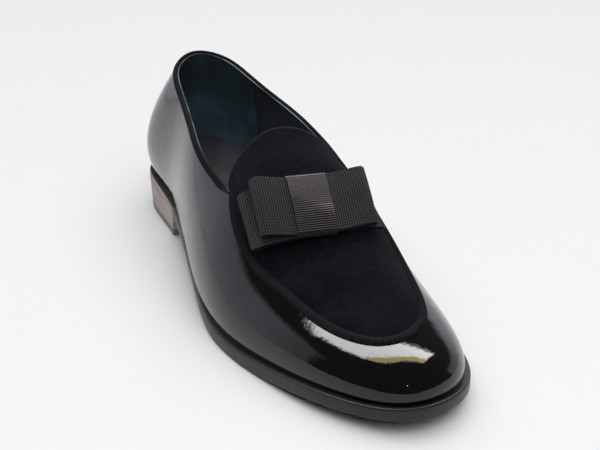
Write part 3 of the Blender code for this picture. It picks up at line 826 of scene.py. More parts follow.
def lining_material(name, colour, painted_shade=1.0):
    """Smooth lining leather with a fine pebble and a soft unevenness of dye; a painted shade under 1 darkens
    it towards the toe.
    """
    finish = Finish(name, {"Specular IOR Level": 0.25})
    cloud = finish.noise(55.0, 4.0)
    dye = finish.shades(cloud.ease(0.3, 0.7), colour, 0.75, 1.3)
    y, = finish.parts(finish.place(), "Y")
    pebble = finish.add("ShaderNodeTexVoronoi", {}, {"Scale": 900.0, "Vector": finish.place()}, "Distance")
    finish.set({
        # Painted shade: towards the toe the colour is scaled by the painted shade, without the dye's
        # unevenness
        "Base Color": finish.mix(y.ease(*PAINTED_SHADE_FADE), scaled(colour, painted_shade), dye),
        "Roughness": 0.60 + 0.18 * cloud,
        "Normal": finish.bump(pebble + 0.5 * finish.noise(300.0), 0.00006),
    })
    return finish.material


def edge_material(name, colour):
    """A cut edge with a little fibre, worn pale in places."""
    finish = Finish(name, {"Roughness": 0.8, "Specular IOR Level": 0.25})
    fibre = finish.noise(900.0, 2.0)
    worn = (finish.noise(45.0, 3.0) + 0.25 * fibre).ease(0.48, 0.78)
    finish.set({
        "Base Color": finish.shades(worn, colour, 0.22, 1.25),
        "Normal": finish.bump(fibre, 0.00005),
    })
    return finish.material


def sole_material(colour, stack_colour):
    """A stained and waxed leather edge; over the heel it is matt, and its lower part is left as a layer."""
    finish = Finish("sole_leather_finish", {"Specular IOR Level": 0.4, "Coat Roughness": 0.3})
    cloud = finish.noise(90.0, 4.0)
    streak = finish.streaks((60.0, 60.0, 900.0), 3.0)
    y, z = finish.parts(finish.place(), "YZ")
    seat = y.ease(*SEAT_START)
    line = SEAT_LINE[0] + SEAT_LINE[1] * y
    layer = seat * (z - line).ease(-SEAT_LINE_BLUR, SEAT_LINE_BLUR, 1.0, 0.0)
    stained = finish.shades(streak, colour, 0.6, 1.5)
    bare = finish.shades(streak, stack_colour, 0.65, 1.35)
    finish.set({
        "Base Color": finish.mix(layer, stained, bare),
        "Roughness": 0.36 + 0.22 * cloud + 0.25 * seat,
        "Coat Weight": (0.08 + 0.10 * cloud) * (1.0 - seat),
        "Normal": finish.bump(streak, 0.00004),
    })
    return finish.material


def stack_material(colour):
    """Layers of leather seen on edge: fine streaks along each layer, darker at the joins."""
    finish = Finish("stacked_leather_finish", {"Specular IOR Level": 0.4})
    groove = finish.lay()[0]
    streak = finish.streaks((45.0, 45.0, 1500.0), 4.0, 0.6)
    tone = (0.75 * streak + 0.25 * finish.noise(35.0)).ease(0.25, 0.75)
    finish.set({
        "Base Color": finish.mix(groove, finish.shades(tone, colour, 0.55, 1.6), scaled(colour, 0.12)),
        "Roughness": 0.38 + 0.25 * streak,
        "Normal": finish.bump(streak, 0.00006),
    })
    return finish.material


def rubber_material(colour):
    """Matt moulded rubber."""
    finish = Finish("heel_rubber_finish", {"Specular IOR Level": 0.3})
    grain = finish.noise(1300.0, 3.0)
    finish.set({
        "Base Color": finish.shades(finish.noise(60.0, 3.0), colour, 0.8, 1.3),
        "Roughness": 0.62 + 0.2 * grain,
        "Normal": finish.bump(grain, 0.00008),
    })
    return finish.material


def plan_level(places, outset, heights, columns):
    """A grid from side to side of the foot at each place, at an outset from the feather line."""
    across = np.asarray(columns)[None, :, None]
    lateral = LAST.outline(places, outset)[:, None]
    medial = LAST.outline(-places, outset)[:, None]
    plan = lateral + (medial - lateral) * across
    rise = np.broadcast_to(np.asarray(heights)[:, None, None], plan.shape[:2] + (1,))
    return np.concatenate([plan, rise], axis=-1)


def slab(piece, levels, values=None):
    """A solid through stacked levels, top first, each a grid of points over the whole plan."""
    values = [None] * len(levels) if values is None else values
    top = piece.grid(levels[0], values=values[0])
    sides = [piece.place(border(level), value) for level, value in zip(levels[1:-1], values[1:-1])]
    foot = piece.grid(levels[-1], flipped=True, values=values[-1])
    piece.ring([border(top), *sides, border(foot)])


def make_sole(material):
    """The sole with its rounded edge."""
    places = np.linspace(0.0, TOE, SECTION_STEPS * TOE + 1)
    columns = np.linspace(0.0, 1.0, SOLE_COLUMNS)
    ledge = LAST.value("ledge", places)
    top = LAST.value("feather", places) - SOLE_SLIT
    foot = LAST.tread(places)
    turns = np.linspace(0.0, 0.5 * np.pi, ROUND_STEPS)
    levels = []
    for height, side, order in ((top, -1.0, turns), (foot, 1.0, turns[::-1])):
        for turn in order:
            outset = ledge - SOLE_ROUND * (1.0 - np.sin(turn))
            rounded = height + side * SOLE_ROUND * (1.0 - np.cos(turn))
            levels.append(plan_level(places, outset, rounded, columns))
    piece = Piece("sole")
    slab(piece, levels)
    piece.finish(material, "sole_leather", ["outsole"])


def heel_level(share, groove, seat_share, height):
    """A level of the heel, a share of the way to the floor, at a share of the seat's height and a height."""
    front = HEEL_TOP_FRONT + (HEEL_FOOT_FRONT - HEEL_TOP_FRONT) * share
    places = np.linspace(0.0, front, HEEL_STATIONS)
    foot_inset = np.linspace(HEEL_BACK_FOOT_INSET, HEEL_FRONT_FOOT_INSET, len(places))
    inset = HEEL_TOP_INSET + (foot_inset - HEEL_TOP_INSET) * share + groove
    heights = LAST.tread(places) * seat_share + height
    columns = np.linspace(0.0, 1.0, HEEL_COLUMNS)
    return plan_level(places, LAST.value("ledge", places) - inset, heights, columns)


def make_heel(stack_finish, rubber_finish, groove_depth):
    """Layers with grooves at their seams, and the top piece with its bevelled rim."""
    stack_share = 1.0 - TOP_PIECE / LAST.tread(np.zeros(1))[0]
    shares = [(0.0, 0.0)]
    for layer in range(1, HEEL_LAYERS + 1):
        seam = layer / HEEL_LAYERS
        shares.extend([(seam - 3.0 * HEEL_SEAM, 0.0), (seam - HEEL_SEAM, 0.5)])
        if layer < HEEL_LAYERS:
            shares.extend([(seam, 1.0), (seam + HEEL_SEAM, 0.5), (seam + 3.0 * HEEL_SEAM, 0.0)])
    shares.append((1.0, 1.0))
    levels = [heel_level(share * stack_share, deep * groove_depth, 1.0 - share, TOP_PIECE * share)
              for share, deep in shares]
    stack = Piece("heel_layers")
    slab(stack, levels, [(deep, 0.0, 0.0) for _, deep in shares])
    stack.finish(stack_finish, "stacked_leather", ["heel_stack"])
    rim_share = 1.0 - (1.0 - stack_share) * HEEL_RIM / TOP_PIECE
    sides = [(stack_share, 0.0, TOP_PIECE), (rim_share, 0.0, HEEL_RIM), (1.0, HEEL_RIM, 0.0)]
    top_piece = Piece("heel_rubber")
    slab(top_piece, [heel_level(share, inset, 0.0, height) for share, inset, height in sides])
    top_piece.finish(rubber_finish, "heel_rubber", ["heel_top_piece"])


def make_insole(material):
    """The sock, with a thin pad under the heel of the foot."""
    places = np.linspace(0.0, TOE, SECTION_STEPS * TOE + 1)
    columns = np.linspace(0.0, 1.0, SOCK_COLUMNS)
    inset = np.full(len(places), -INSOLE_INSET)
    board = LAST.value("feather", places)
    top = plan_level(places, inset, board + INSOLE, columns)
    behind = np.clip((top[..., 1] - HEEL_PAD_FRONT) / HEEL_PAD_RUN, 0.0, 1.0)
    top[..., 2] += HEEL_PAD * behind**2 * (3.0 - 2.0 * behind)
    piece = Piece("sock")
    slab(piece, [top, plan_level(places, inset, board - INSOLE_SINK, columns)])
    piece.finish(material, "sock_leather", ["insole"])


def wall_places():
    """Places round the foot, closer together at the back seam."""
    even = np.arange(0.0, 2 * TOE, 1.0 / SECTION_STEPS)
    near = np.array(BACK_SEAM_PLACES)
    return np.unique(np.concatenate([even, near, 2 * TOE - near]))


def shell_rows(places, inside, outside, top_drop, steps):
    """Wall rows from the foot up the outside and down the inside, as points."""
    edge = LAST.climb_at(places, LAST.wall_length(places) - top_drop)
    share = np.linspace(0.0, 1.0, steps)
    climbs = edge[:, None] * share
    spread = np.broadcast_to(places[:, None], climbs.shape)
    outer = LAST.raised(spread, climbs, outside)
    inner = LAST.raised(spread, climbs[:, ::-1], inside)
    return np.concatenate([outer, inner], axis=1)


def make_wall(material):
    """The patent wall, with a groove down the back seam and its foot tucked in over the sole."""
    places = wall_places()
    from_seam = np.minimum(places, 2 * TOE - places) * BACK_MM_PER_PLACE
    groove = BACK_SEAM_DEPTH * np.exp(-(from_seam / BACK_SEAM_WIDTH)**2)
    rows = shell_rows(places, -PATENT, -groove[:, None], 0.0, WALL_ROWS)
    tuck = rows[:, :1].copy()
    tuck[..., :2] -= WALL_TUCK_IN * LAST.outward(places)[:, None]
    tuck[..., 2] -= WALL_TUCK_DOWN
    piece = Piece("patent_wall")
    piece.grid(np.concatenate([tuck, rows], axis=1), close_rows=True, close_columns=True)
    piece.finish(material, "patent_leather", ["upper"])


def make_lining(heel_finish, front_finish, edge_finish):
    """The lining, skived thin at the collar, a second one inside the heel, and the pale cut edge."""
    skive = 1.0 - np.exp(-np.linspace(0.0, 1.0, LINING_ROWS) / LINING_SKIVE)
    depth = LINING_LIP + (LINING_INSIDE - LINING_LIP) * skive
    places = np.arange(0.0, 2 * TOE, 1.0 / LINING_SECTION_STEPS)
    front = Piece("front_lining")
    rows = shell_rows(places, -depth, -LINING_OUTSIDE, LINING_DROP, LINING_ROWS)
    front.grid(rows, close_rows=True, close_columns=True)
    front.finish(front_finish, "sock_leather", ["upper"])
    places = np.linspace(-HEEL_LINING_END, HEEL_LINING_END, HEEL_LINING_STATIONS)
    inside = -depth - HEEL_LINING * skive - HEEL_LINING_STAND
    outside = HEEL_LINING_SINK - depth[::-1]
    heel = Piece("heel_lining")
    rows = shell_rows(places, inside, outside, HEEL_LINING_DROP, LINING_ROWS)
    heel.cap_ends(heel.grid(rows, close_columns=True))
    heel.finish(heel_finish, "sock_leather", ["upper"])
    places = np.linspace(-BINDING_END, BINDING_END, EDGE_STATIONS)
    climbs = LAST.climb_at(places, LAST.wall_length(places) - LINING_EDGE_DROP)
    path = LAST.raised(places, climbs, -LINING_EDGE_DEPTH)
    edge = Piece("lining_edge")
    tube(edge, path, LAST.normal(places, climbs), LINING_EDGE_RADIUS, LINING_EDGE_RADIUS, EDGE_SIDES)
    edge.finish(edge_finish, "sock_leather", ["upper"])


def rib_values(points, crest, across, down=0.0):
    """Values for a ribbon's finish: the crests of its ribs, and the place across and down it."""
    return np.stack([np.broadcast_to(part, points.shape[:2]) for part in (crest, across, down)], axis=-1)


def tube(piece, path, normals, width, height, sides, closed=False, swell=0.0, crest=1.0):
    """A round cord along a path, with normals up; swell adds to its radius at each station."""
    ahead = np.roll(path, -1, axis=0) if closed else np.concatenate([path[1:], path[-1:]])
    behind = np.roll(path, 1, axis=0) if closed else np.concatenate([path[:1], path[:-1]])
    along = ahead - behind
    along = along / np.linalg.norm(along, axis=1, keepdims=True)
    side = np.cross(along, normals)
    side = side / np.linalg.norm(side, axis=1, keepdims=True)
    up = np.cross(side, along)
    turn = np.linspace(0.0, 2.0 * np.pi, sides, endpoint=False)
    reach = ((width + swell) * np.cos(turn))[..., None]
    lift = ((height + swell) * np.sin(turn))[..., None]
    points = path[:, None] + reach * side[:, None] + lift * up[:, None]
    values = rib_values(points, crest, turn * width)
    index = piece.grid(points, close_rows=closed, close_columns=True, values=values)
    if not closed:
        piece.cap_ends(index)


def apron_edge(inset, dome_steps, seam_places):
    """Places and both climbs along the apron's border, from the tongue's top down to the toe."""
    top = TONGUE_TOP + inset / CROWN_MM_PER_PLACE
    turn = np.linspace(0.5 * np.pi, 0.0, dome_steps + 1)[:-1]
    dome = THROAT - (THROAT - top) * np.sin(turn)
    throat = np.array([float(THROAT), -float(THROAT)])
    sides = LAST.climb_at(throat, LAST.wall_length(throat) + inset)
    climbs = [1.0 - np.cos(turn)**TONGUE_POINT * (1.0 - side) for side in sides]
    seams = [LAST.climb_at(side, LAST.wall_length(side) + inset) for side in (seam_places, -seam_places)]
    lateral, medial = [np.concatenate(parts) for parts in zip(climbs, seams)]
    return np.concatenate([dome, seam_places]), lateral, medial


def smoothed(points, rounds=40):
    """The apron's points evened out with its edge held; the two halves of its last row meet."""
    points = points.copy()
    for _ in range(rounds):
        beyond = np.concatenate([points, points[-2:-1, ::-1]])
        sides = points[1:, :-2] + points[1:, 2:]
        ends = beyond[:-2, 1:-1] + beyond[2:, 1:-1]
        points[1:, 1:-1] = 0.5 * points[1:, 1:-1] + 0.125 * (sides + ends)
    return points


def make_apron(material):
    """The suede apron with its tongue, rolled down at the edge."""
    seam_places = np.linspace(THROAT, TOE, APRON_STATIONS)
    inset = PIPING_RADIUS + PIPING_GAP + APRON_GAP
    places, lateral, medial = apron_edge(inset, APRON_DOME, seam_places)
    across = np.linspace(-1.0, 1.0, APRON_COLUMNS)
    sided = np.where(across < 0.0, 1.0, -1.0) * places[:, None]
    edges = np.where(across < 0.0, lateral[:, None], medial[:, None])
    climbs = 1.0 - (1.0 - edges) * np.abs(across)
    centre = LAST.point(sided, climbs)
    from_side = np.minimum(np.linalg.norm(centre - centre[:, :1], axis=-1),
                           np.linalg.norm(centre - centre[:, -1:], axis=-1))
    from_top = np.linalg.norm(centre - centre[:1], axis=-1)
    inside = np.clip(np.minimum(from_side, from_top) / APRON_EDGE_ROLL, 0.0, 1.0)
    stand = APRON_STAND * np.sin(0.5 * np.pi * inside)
    piece = Piece("suede_apron")
    top = piece.grid(smoothed(LAST.raised(sided, climbs, stand)))
    under = piece.grid(smoothed(LAST.raised(sided, climbs, stand - APRON_WALL)), flipped=True)
    piece.ring([np.concatenate([level[:, -1], level[::-1, 0]]) for level in (top, under)])
    piece.finish(material, "suede", ["apron"])


def even_stations(path, rib, closed):
    """Distances along a path, places on it a whole number of ribs long, and the ribs' crests there."""
    runs = run_length(path, closed)
    ribs = int(round(runs[-1] / rib))
    wanted = np.linspace(0.0, runs[-1], ribs * STEPS_PER_RIB, endpoint=not closed)
    return runs, wanted, 0.5 + 0.5 * np.cos(2.0 * np.pi * ribs * wanted / runs[-1])


def along_loop(wanted, runs, data):
    """Rows of data round a closed run, read at the wanted distances."""
    closed = np.concatenate([data, data[:1]])
    return np.stack([np.interp(wanted, runs, column) for column in closed.T], axis=1)


def make_piping(material, rib, depth):
    """A ribbed cord along the apron's border."""
    seam_places = np.linspace(THROAT, TOE, PIPING_STATIONS)
    places, lateral, medial = apron_edge(PIPING_RADIUS + PIPING_GAP, PIPING_DOME, seam_places)
    places = np.concatenate([places, -places[-2:0:-1]])
    climbs = np.concatenate([lateral, medial[-2:0:-1]])
    path = LAST.raised(places, climbs, PIPING_RISE)
    below_throat = np.clip((np.abs(places) - THROAT) / TONGUE_PIPING_END, 0.0, 1.0)
    thin = (TONGUE_PIPING - 1.0) * (1.0 - below_throat) * PIPING_RADIUS
    runs, wanted, crest = even_stations(path, rib, True)
    rows = (path, LAST.normal(places, climbs), thin[:, None])
    path, normals, thin = [along_loop(wanted, runs, data) for data in rows]
    crest = crest[:, None]
    piece = Piece("ribbed_piping")
    tube(piece, path, normals, PIPING_RADIUS, PIPING_HEIGHT, PIPING_SIDES, closed=True,
         swell=thin + depth * (crest - 0.5), crest=crest)
    piece.finish(material, "grosgrain", ["apron_piping"])


def make_binding(material, rib, depth):
    """Ribbon folded over the collar, ribbed across its width."""
    fine = np.linspace(-BINDING_END, BINDING_END, COLLAR_STATIONS)
    lengths = LAST.wall_length(np.clip(fine, -BEFORE_THROAT, BEFORE_THROAT))
    rim = LAST.point(fine, LAST.climb_at(fine, lengths))
    runs, wanted, crest = even_stations(rim, rib, False)
    places, lengths = [np.interp(wanted, runs, data) for data in (fine, lengths)]
    crest = crest[:, None]
    fold = np.array(BINDING_FOLD)
    out = profile_normals(fold)
    push = depth * (crest - 0.5) * (np.arange(len(fold)) < BINDING_RIBBED)
    near_end = np.clip((np.abs(places) - BINDING_END) / BINDING_TAPER + 1.0, 0.0, 1.0)
    size = (1.0 - (1.0 - BINDING_TIP) * near_end)[:, None]
    rise, stand = [size * (fold[:, axis] + push * out[:, axis]) for axis in (0, 1)]
    columns = [LAST.raised(places, LAST.climb_at(places, lengths + up), off)
               for up, off in zip(rise.T, stand.T)]
    points = np.stack(columns, axis=1)
    piece = Piece("collar_ribbon")
    values = rib_values(points, crest, run_length(fold))
    piece.cap_ends(piece.grid(points, close_columns=True, values=values))
    piece.finish(material, "grosgrain", ["collar_binding"])


class BowFrame:
    """Directions of the bow: across the foot, down the ribbon's width, and up off the apron."""

    def __init__(self):
        length = np.hypot(1.0, BOW_SLOPE)
        self.across = np.array([1.0, 0.0, 0.0])
        self.down = np.array([0.0, -1.0, -BOW_SLOPE]) / length
        self.up = np.array([0.0, -BOW_SLOPE, 1.0]) / length
        self.centre = np.array([BOW_X, BOW_Y, float(LAST.crown_z(BOW_Y))])
        self.centre = self.centre + self.seat() * self.up

    def seat(self):
        """How far the bow's middle lifts so that its knot clears the apron under it."""
        stations = np.linspace(THROAT, BOW_SEAT_FRONT, BOW_SEAT_STATIONS)
        climbs = np.linspace(BOW_SEAT_FOOT, 1.0, BOW_SEAT_STATIONS)
        places, climbs = np.meshgrid(stations, climbs, indexing="ij")
        surface = np.concatenate([LAST.raised(side * places, climbs, APRON_STAND) for side in (1, -1)])
        away = surface - self.centre
        under_knot = np.abs(away @ self.across - KNOT_X) < 0.5 * KNOT_WIDTH + BOW_SEAT_MARGIN
        under_knot &= np.abs(away @ self.down) < 0.5 * BOW_RIBBON_WIDTH + BOW_SEAT_MARGIN
        return np.max((away @ self.up)[under_knot]) + 2.0 * RIBBON_GAP + RIBBON

    def points(self, across, down, up, loop, shift):
        """Points of the bow, leant, flared and tilted with a loop by degrees and shifted down the foot."""
        lean, flare, tilt = np.sin(np.radians([loop.lean, loop.flare, loop.tilt]))
        leant = across + loop.offset + (flare * across / loop.half_length - lean) * down
        lowered = down + tilt * (across - KNOT_X) + shift
        return (self.centre + leant[..., None] * self.across
                + lowered[..., None] * self.down + up[..., None] * self.up)


class Loop:
    """One ribbon loop of the bow: flat in the knot, fuller in the lobes, folded round at both ends."""

    def __init__(self, name, under=None):
        self.name = name
        self.under = under
        for column, size in zip(LOOP_COLUMNS, LOOPS[name]):
            setattr(self, column, size)

    def past_knot(self, across):
        """Share of the way from the knot's side to the fold."""
        held = 0.5 * KNOT_WIDTH
        return np.clip((np.abs(across) - held) / (self.half_length - held), 0.0, 1.0)

    def depth(self, across):
        return self.middle + (self.lobe - self.middle) * np.sin(0.5 * np.pi * self.past_knot(across))**2

    def toe_edge(self):
        """Heights of both runs at the toe-side edge in the knot, where the ribbon is pinched flat."""
        middle = float(self.underside(np.zeros(1))[0]) + 0.5 * self.middle - self.dip
        return middle - 0.5 * LOOP_PINCH * self.middle, middle + 0.5 * LOOP_PINCH * self.middle

    def underside(self, across):
        """Height of the lower run, which lies in the knot and falls off towards the folds."""
        held = self.under.top(np.zeros(1))[0] + RIBBON_GAP if self.under else 0.0
        return held - self.droop * (across / self.half_length)**2

    def top(self, across):
        return self.underside(across) + self.depth(across)

    def path(self, steps):
        """Across and up along the outside of the loop, once round."""
        across = self.half_length * np.cos(np.linspace(0.0, np.pi, steps))
        depth = self.depth(across)
        radius = 0.5 * depth[0]
        past = np.clip((np.abs(across) - (self.half_length - radius)) / radius, 0.0, 1.0)
        half_depth = 0.5 * depth * np.sqrt(1.0 - past**2)
        middle = self.underside(across) + 0.5 * depth
        path_across = np.concatenate([across, across[-2:0:-1]])
        path_up = np.concatenate([middle + half_depth, (middle - half_depth)[-2:0:-1]])
        return np.stack([path_across, path_up], axis=1)

    def make(self, bow, material, rib, rib_depth):
        coarse = self.path(LOOP_STATIONS)
        runs, wanted, crest = even_stations(coarse, rib, True)
        path = along_loop(wanted, runs, coarse)
        half = 0.5 * BOW_RIBBON_WIDTH
        out = -profile_normals(path)
        layers, edges = ribbon_faces(path, out, rib_depth * (crest - 0.5), half, LOOP_FACES)
        columns = []
        for layer, down in zip(layers, edges):
            across, up = layer.T
            toe_share = 0.5 + 0.5 * down / half
            middle = self.underside(across) + 0.5 * self.depth(across)
            pinch = LOOP_PINCH + (1.0 - LOOP_PINCH) * np.cos(0.5 * np.pi * toe_share)
            pinched = middle - self.dip * toe_share**2 + pinch * (up - middle)
            sunk = down + self.sag * (1.0 - self.past_knot(across - KNOT_X))
            columns.append(bow.points(across, sunk, pinched, self, self.shift))
        points = np.stack(columns, axis=1)
        piece = Piece(self.name + "_loop")
        values = rib_values(points, crest[:, None], edges)
        piece.grid(points, close_rows=True, close_columns=True, values=values)
        piece.finish(material, "grosgrain", [self.name])


def ribbon_faces(path, out, ribs, half, steps):
    """Layers of a ribbon along its path, ribbed outside and plain inside, and their places across it."""
    outer = path + ribs[:, None] * out
    inner = path - RIBBON * out
    edges = np.concatenate([np.linspace(-half, half, steps[0]), np.linspace(half, -half, steps[1])])
    return [outer] * steps[0] + [inner] * steps[1], edges


def make_bow(ribbon_finish, satin_finish, rib, knot_rib, rib_depth):
    """Two loops and the band round them."""
    bow = BowFrame()
    lower = Loop("bow_lower")
    upper = Loop("bow_upper", under=lower)
    lower.make(bow, ribbon_finish, rib, rib_depth)
    upper.make(bow, ribbon_finish, rib, rib_depth)
    make_knot(bow, lower, upper, satin_finish, knot_rib, rib_depth)


def make_knot(bow, lower, upper, material, rib, rib_depth):
    """A ribbon band round the middle of both loops."""
    held = KNOT_X + np.linspace(-0.5, 0.5, KNOT_FACES[0]) * KNOT_WIDTH
    reach = 0.5 * BOW_RIBBON_WIDTH + KNOT_WRAP
    low = float(np.min(lower.underside(held))) - KNOT_WRAP
    high = float(np.max(upper.top(held))) + KNOT_WRAP
    toe_low = lower.toe_edge()[0] - KNOT_WRAP
    toe_high = upper.toe_edge()[1] + KNOT_WRAP
    inner_reach = reach - KNOT_CORNER
    corners = []
    for centre_down, centre_up, start in (
            (inner_reach, toe_high - KNOT_CORNER, 90.0), (inner_reach, toe_low + KNOT_CORNER, 0.0),
            (-inner_reach, low + KNOT_CORNER, -90.0), (-inner_reach, high - KNOT_CORNER, -180.0)):
        for turn in np.radians(np.linspace(start, start - 90.0, CORNER_STEPS)):
            corners.append((centre_down + KNOT_CORNER * np.cos(turn), centre_up + KNOT_CORNER * np.sin(turn)))
    coarse = np.array(corners)
    runs, wanted, crest = even_stations(coarse, rib, True)
    path = along_loop(wanted, runs, coarse)
    out = profile_normals(path)
    down = path[:, 0]
    on_top = path[:, 1] > 0.5 * (low + high)
    path[:, 1] += np.where(on_top, KNOT_SWELL * np.cos(0.5 * np.pi * down / reach), 0.0)
    ribbed = np.clip(0.5 + down / reach, KNOT_SMOOTH, 1.0)
    layers, edges = ribbon_faces(path, out, rib_depth * ribbed * (crest - 0.5), 0.5 * KNOT_WIDTH, KNOT_FACES)
    columns = [bow.points(np.full(len(layer), KNOT_X + side), layer[:, 0], layer[:, 1], upper, upper.sag)
               for layer, side in zip(layers, edges)]
    points = np.stack(columns, axis=1)
    # Painted shade mark: the face under the upper loop's toe edge gets down values past 1, which its finish
    # draws darker
    painted_shade_under_loop = np.clip(toe_high - KNOT_CORNER - path[:, 1], 0.0, 1.0) * (down > 0.5 * reach)
    toe_place_and_painted_shade = layers[0][:, 0] / reach + painted_shade_under_loop
    piece = Piece("bow_knot_band")
    values = rib_values(points, crest[:, None], edges, toe_place_and_painted_shade[:, None])
    piece.grid(points, close_rows=True, close_columns=True, values=values)
    piece.finish(material, "satin_ribbon", ["bow_knot"])


def make_floor(colour):
    finish = Finish("floor_finish", {"Roughness": 0.6, "Specular IOR Level": 0.2})
    finish.set({"Base Color": finish.shades(finish.noise(1.5, 2.0), colour, 0.99, 1.01)})
    turns = ((-1, -1), (1, -1), (1, 1), (-1, 1))
    data = bpy.data.meshes.new("floor")
    data.from_pydata([(FLOOR_HALF * x, FLOOR_HALF * y, 0.0) for x, y in turns], [], [range(len(turns))])
    data.shade_smooth()
    data.materials.append(finish.material)
    floor = bpy.data.objects.new("floor", data)
    bpy.context.scene.collection.objects.link(floor)


def make_camera():
    azimuth, elevation, roll = np.radians([CAMERA_AZIMUTH, CAMERA_ELEVATION, CAMERA_ROLL])
    level = np.cos(elevation)
    back = Vector((np.sin(azimuth) * level, -np.cos(azimuth) * level, np.sin(elevation)))
    right = (-back).cross(Vector((0.0, 0.0, 1.0))).normalized()
    up = right.cross(-back)
    turned_right = np.cos(roll) * right + np.sin(roll) * up
    turned_up = -np.sin(roll) * right + np.cos(roll) * up
    target = Vector((CAMERA_TARGET + FRAME_SHIFT) * METRES_PER_MM)
    place = target + CAMERA_DISTANCE * METRES_PER_MM * back
    lens = bpy.data.cameras.new("camera")
    lens.lens = CAMERA_LENS
    lens.sensor_width = CAMERA_SENSOR
    lens.clip_start = CAMERA_CLIP
    camera = bpy.data.objects.new("camera", lens)
    turn = Matrix((turned_right, turned_up, back)).transposed().to_4x4()
    camera.matrix_world = Matrix.Translation(place) @ turn
    bpy.context.scene.collection.objects.link(camera)
    bpy.context.scene.camera = camera


def make_room(stage):
    """A white room behind the shoe, dark on the camera's side, under a ceiling panel with a warm near rim.

    The room shows in the gloss alone: the softboxes light the shoe, and the backdrop is plain and pale.
    """
    world = bpy.data.worlds.new("white_room")
    bpy.context.scene.world = world
    world.cycles_visibility.diffuse = False
    world.use_nodes = True
    nodes = Nodes(world.node_tree)
    direction = nodes.add("ShaderNodeTexCoord", {}, {}, "Generated")
    x, y, z = nodes.parts(direction)
    turn = x.sum("ARCTAN2", x, y) * np.degrees(1.0)
    lift = z.sum("ARCSINE", z, 0.0) * np.degrees(1.0)
    over_top = lift - turn.ease(*ROOM_TOP_TURN, *ROOM_TOP_LIFT)
    below_top = over_top.ease(-ROOM_TOP_BLUR, ROOM_TOP_BLUR, 1.0, 0.0)
    outer_side = turn.ease(*ROOM_OUTER_EDGE) * turn.ease(*ROOM_OUTER_FADE, ROOM_OUTER_SHARE, 1.0)
    inner_side = turn.ease(*ROOM_INNER_EDGE, 1.0, 0.0) * turn.ease(*ROOM_INNER_FADE, 1.0, ROOM_INNER_SHARE)
    white = outer_side * inner_side * below_top
    across = x / z.most(FLATTEST)
    behind = y / z.most(FLATTEST)
    near = (PANEL_OUTER_LINE[0] + PANEL_OUTER_LINE[1] * across).most(PANEL_NEAR)
    near = near.most(PANEL_INNER_LINE[0] + PANEL_INNER_LINE[1] * across)
    panel = (behind - near).ease(-PANEL_BLUR, PANEL_BLUR) * behind.ease(*PANEL_FAR, 1.0, 0.0)
    panel = panel * across.ease(*PANEL_OUTER_END) * across.ease(*PANEL_INNER_END, 1.0, 0.0)
    level = stage.dark + white * (stage.room - stage.dark) + panel * stage.panel
    lamp_colour = nodes.mix(behind.ease(*PANEL_RIM), stage.rim, (1.0, 1.0, 1.0))
    in_gloss = nodes.mix(panel, stage.room_tint, lamp_colour)
    seen = nodes.add("ShaderNodeLightPath", {}, {}, "Is Camera Ray")
    background = world.node_tree.nodes["Background"]
    nodes.feed(background.inputs["Color"], nodes.mix(seen, in_gloss, stage.backdrop))
    nodes.feed(background.inputs["Strength"], level * (1.0 - seen) + seen)


def make_softbox(name, power, size, place, in_reflections):
    """An area light that faces the shoe."""
    lamp = bpy.data.lights.new(name, "AREA")
    lamp.energy = power
    lamp.shape = "RECTANGLE"
    lamp.size, lamp.size_y = size
    light = bpy.data.objects.new(name, lamp)
    light.location = place
    light.rotation_euler = (-Vector(place)).to_track_quat("-Z", "Y").to_euler()
    light.visible_glossy = in_reflections
    bpy.context.scene.collection.objects.link(light)


class LOAFER_OT_sole(bpy.types.Operator):
    """Make the sole, the layered heel and the sock"""

    bl_idname = "loafer.sole"
    bl_label = "Sole and heel"

    def execute(self, context):
        colours = context.scene.loafer_colours
        make_sole(sole_material(colours.sole, colours.stack))
        make_heel(stack_material(colours.stack), rubber_material(colours.rubber),
                  context.scene.loafer_sizes.layer_groove / METRES_PER_MM)
        # The sock gets a painted shade towards the toe
        make_insole(lining_material("sock_leather_finish", colours.sock, SOCK_PAINTED_SHADE))
        return {"FINISHED"}


class LOAFER_OT_wall(bpy.types.Operator):
    """Make the patent wall and its lining"""

    bl_idname = "loafer.wall"
    bl_label = "Wall and lining"

    def execute(self, context):
        colours = context.scene.loafer_colours
        make_wall(patent_material(colours.patent))
        make_lining(lining_material("heel_lining_finish", colours.lining),
                    lining_material("front_lining_finish", colours.front_lining),
                    edge_material("lining_edge_finish", colours.lining_edge))
        return {"FINISHED"}


class LOAFER_OT_apron(bpy.types.Operator):
    """Make the suede apron with its tongue"""

    bl_idname = "loafer.apron"
    bl_label = "Apron"

    def execute(self, context):
        make_apron(suede_material(context.scene.loafer_colours.suede))
        return {"FINISHED"}


class LOAFER_OT_trims(bpy.types.Operator):
    """Make the ribbed piping and the collar binding"""

    bl_idname = "loafer.trims"
    bl_label = "Piping and binding"

    def execute(self, context):
        sizes = context.scene.loafer_sizes
        rib, depth = [size / METRES_PER_MM for size in (sizes.trim_rib, sizes.rib_depth)]
        finish = ribbon_material("trim_grosgrain_finish", context.scene.loafer_colours.trims,
                                 thread_pitch=0.5, thread_share=0.14, shine=0.06, gloss=0.12)
        make_piping(finish, rib, depth)
        make_binding(finish, rib, depth)
        return {"FINISHED"}


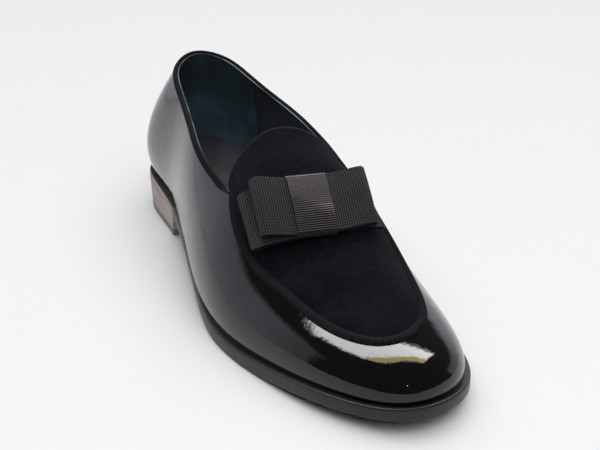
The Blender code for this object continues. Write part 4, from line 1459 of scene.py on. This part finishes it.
class LOAFER_OT_bow(bpy.types.Operator):
    """Make the ribbon bow"""

    bl_idname = "loafer.bow"
    bl_label = "Bow"

    def execute(self, context):
        sizes = context.scene.loafer_sizes
        colours = context.scene.loafer_colours
        ribs = [size / METRES_PER_MM for size in (sizes.bow_rib, sizes.knot_rib, sizes.rib_depth)]
        ribbon = ribbon_material("bow_grosgrain_finish", colours.grosgrain,
                                 thread_pitch=1.25, thread_share=0.40, shine=0.04, gloss=0.35)
        make_bow(ribbon, satin_material(colours.satin), *ribs)
        return {"FINISHED"}


class LOAFER_OT_stage(bpy.types.Operator):
    """Make the floor, the lights and the camera"""

    bl_idname = "loafer.stage"
    bl_label = "Stage"

    def execute(self, context):
        stage = context.scene.loafer_stage
        make_floor(stage.floor)
        make_room(stage)
        make_softbox("overhead_softbox", stage.softbox, SOFTBOX_SIZE, SOFTBOX_PLACE, False)
        make_softbox("fill_softbox", stage.fill, FILL_SIZE, FILL_PLACE, False)
        make_softbox("front_light", stage.front_light, FRONT_LIGHT_SIZE, FRONT_LIGHT_PLACE, True)
        context.scene.view_settings.view_transform = "Standard"
        make_camera()
        return {"FINISHED"}


OPERATORS = (LOAFER_OT_sole, LOAFER_OT_wall, LOAFER_OT_apron, LOAFER_OT_trims, LOAFER_OT_bow, LOAFER_OT_stage)
GROUPS = {"loafer_sizes": LoaferSizes, "loafer_colours": LoaferColours, "loafer_stage": LoaferStage}


class LOAFER_PT_panel(bpy.types.Panel):
    """Lists the pieces and their settings"""

    bl_idname = "LOAFER_PT_panel"
    bl_label = "Ribbon Bow Loafer"
    bl_space_type = "VIEW_3D"
    bl_region_type = "UI"
    bl_category = "Loafer"

    def draw(self, context):
        for name, group in GROUPS.items():
            box = self.layout.box()
            for setting in group.__annotations__:
                box.prop(getattr(context.scene, name), setting)
        for operator in OPERATORS:
            self.layout.operator(operator.bl_idname)


CLASSES = (*GROUPS.values(), *OPERATORS, LOAFER_PT_panel)


def register():
    for made in CLASSES:
        bpy.utils.register_class(made)
    for name, group in GROUPS.items():
        setattr(bpy.types.Scene, name, PointerProperty(type=group))


def unregister():
    for name in GROUPS:
        delattr(bpy.types.Scene, name)
    for made in reversed(CLASSES):
        bpy.utils.unregister_class(made)


def main():
    register()
    bpy.ops.loafer.stage()
    bpy.ops.loafer.sole()
    bpy.ops.loafer.wall()
    bpy.ops.loafer.apron()
    bpy.ops.loafer.trims()
    bpy.ops.loafer.bow()


if __name__ == "__main__":
    main()
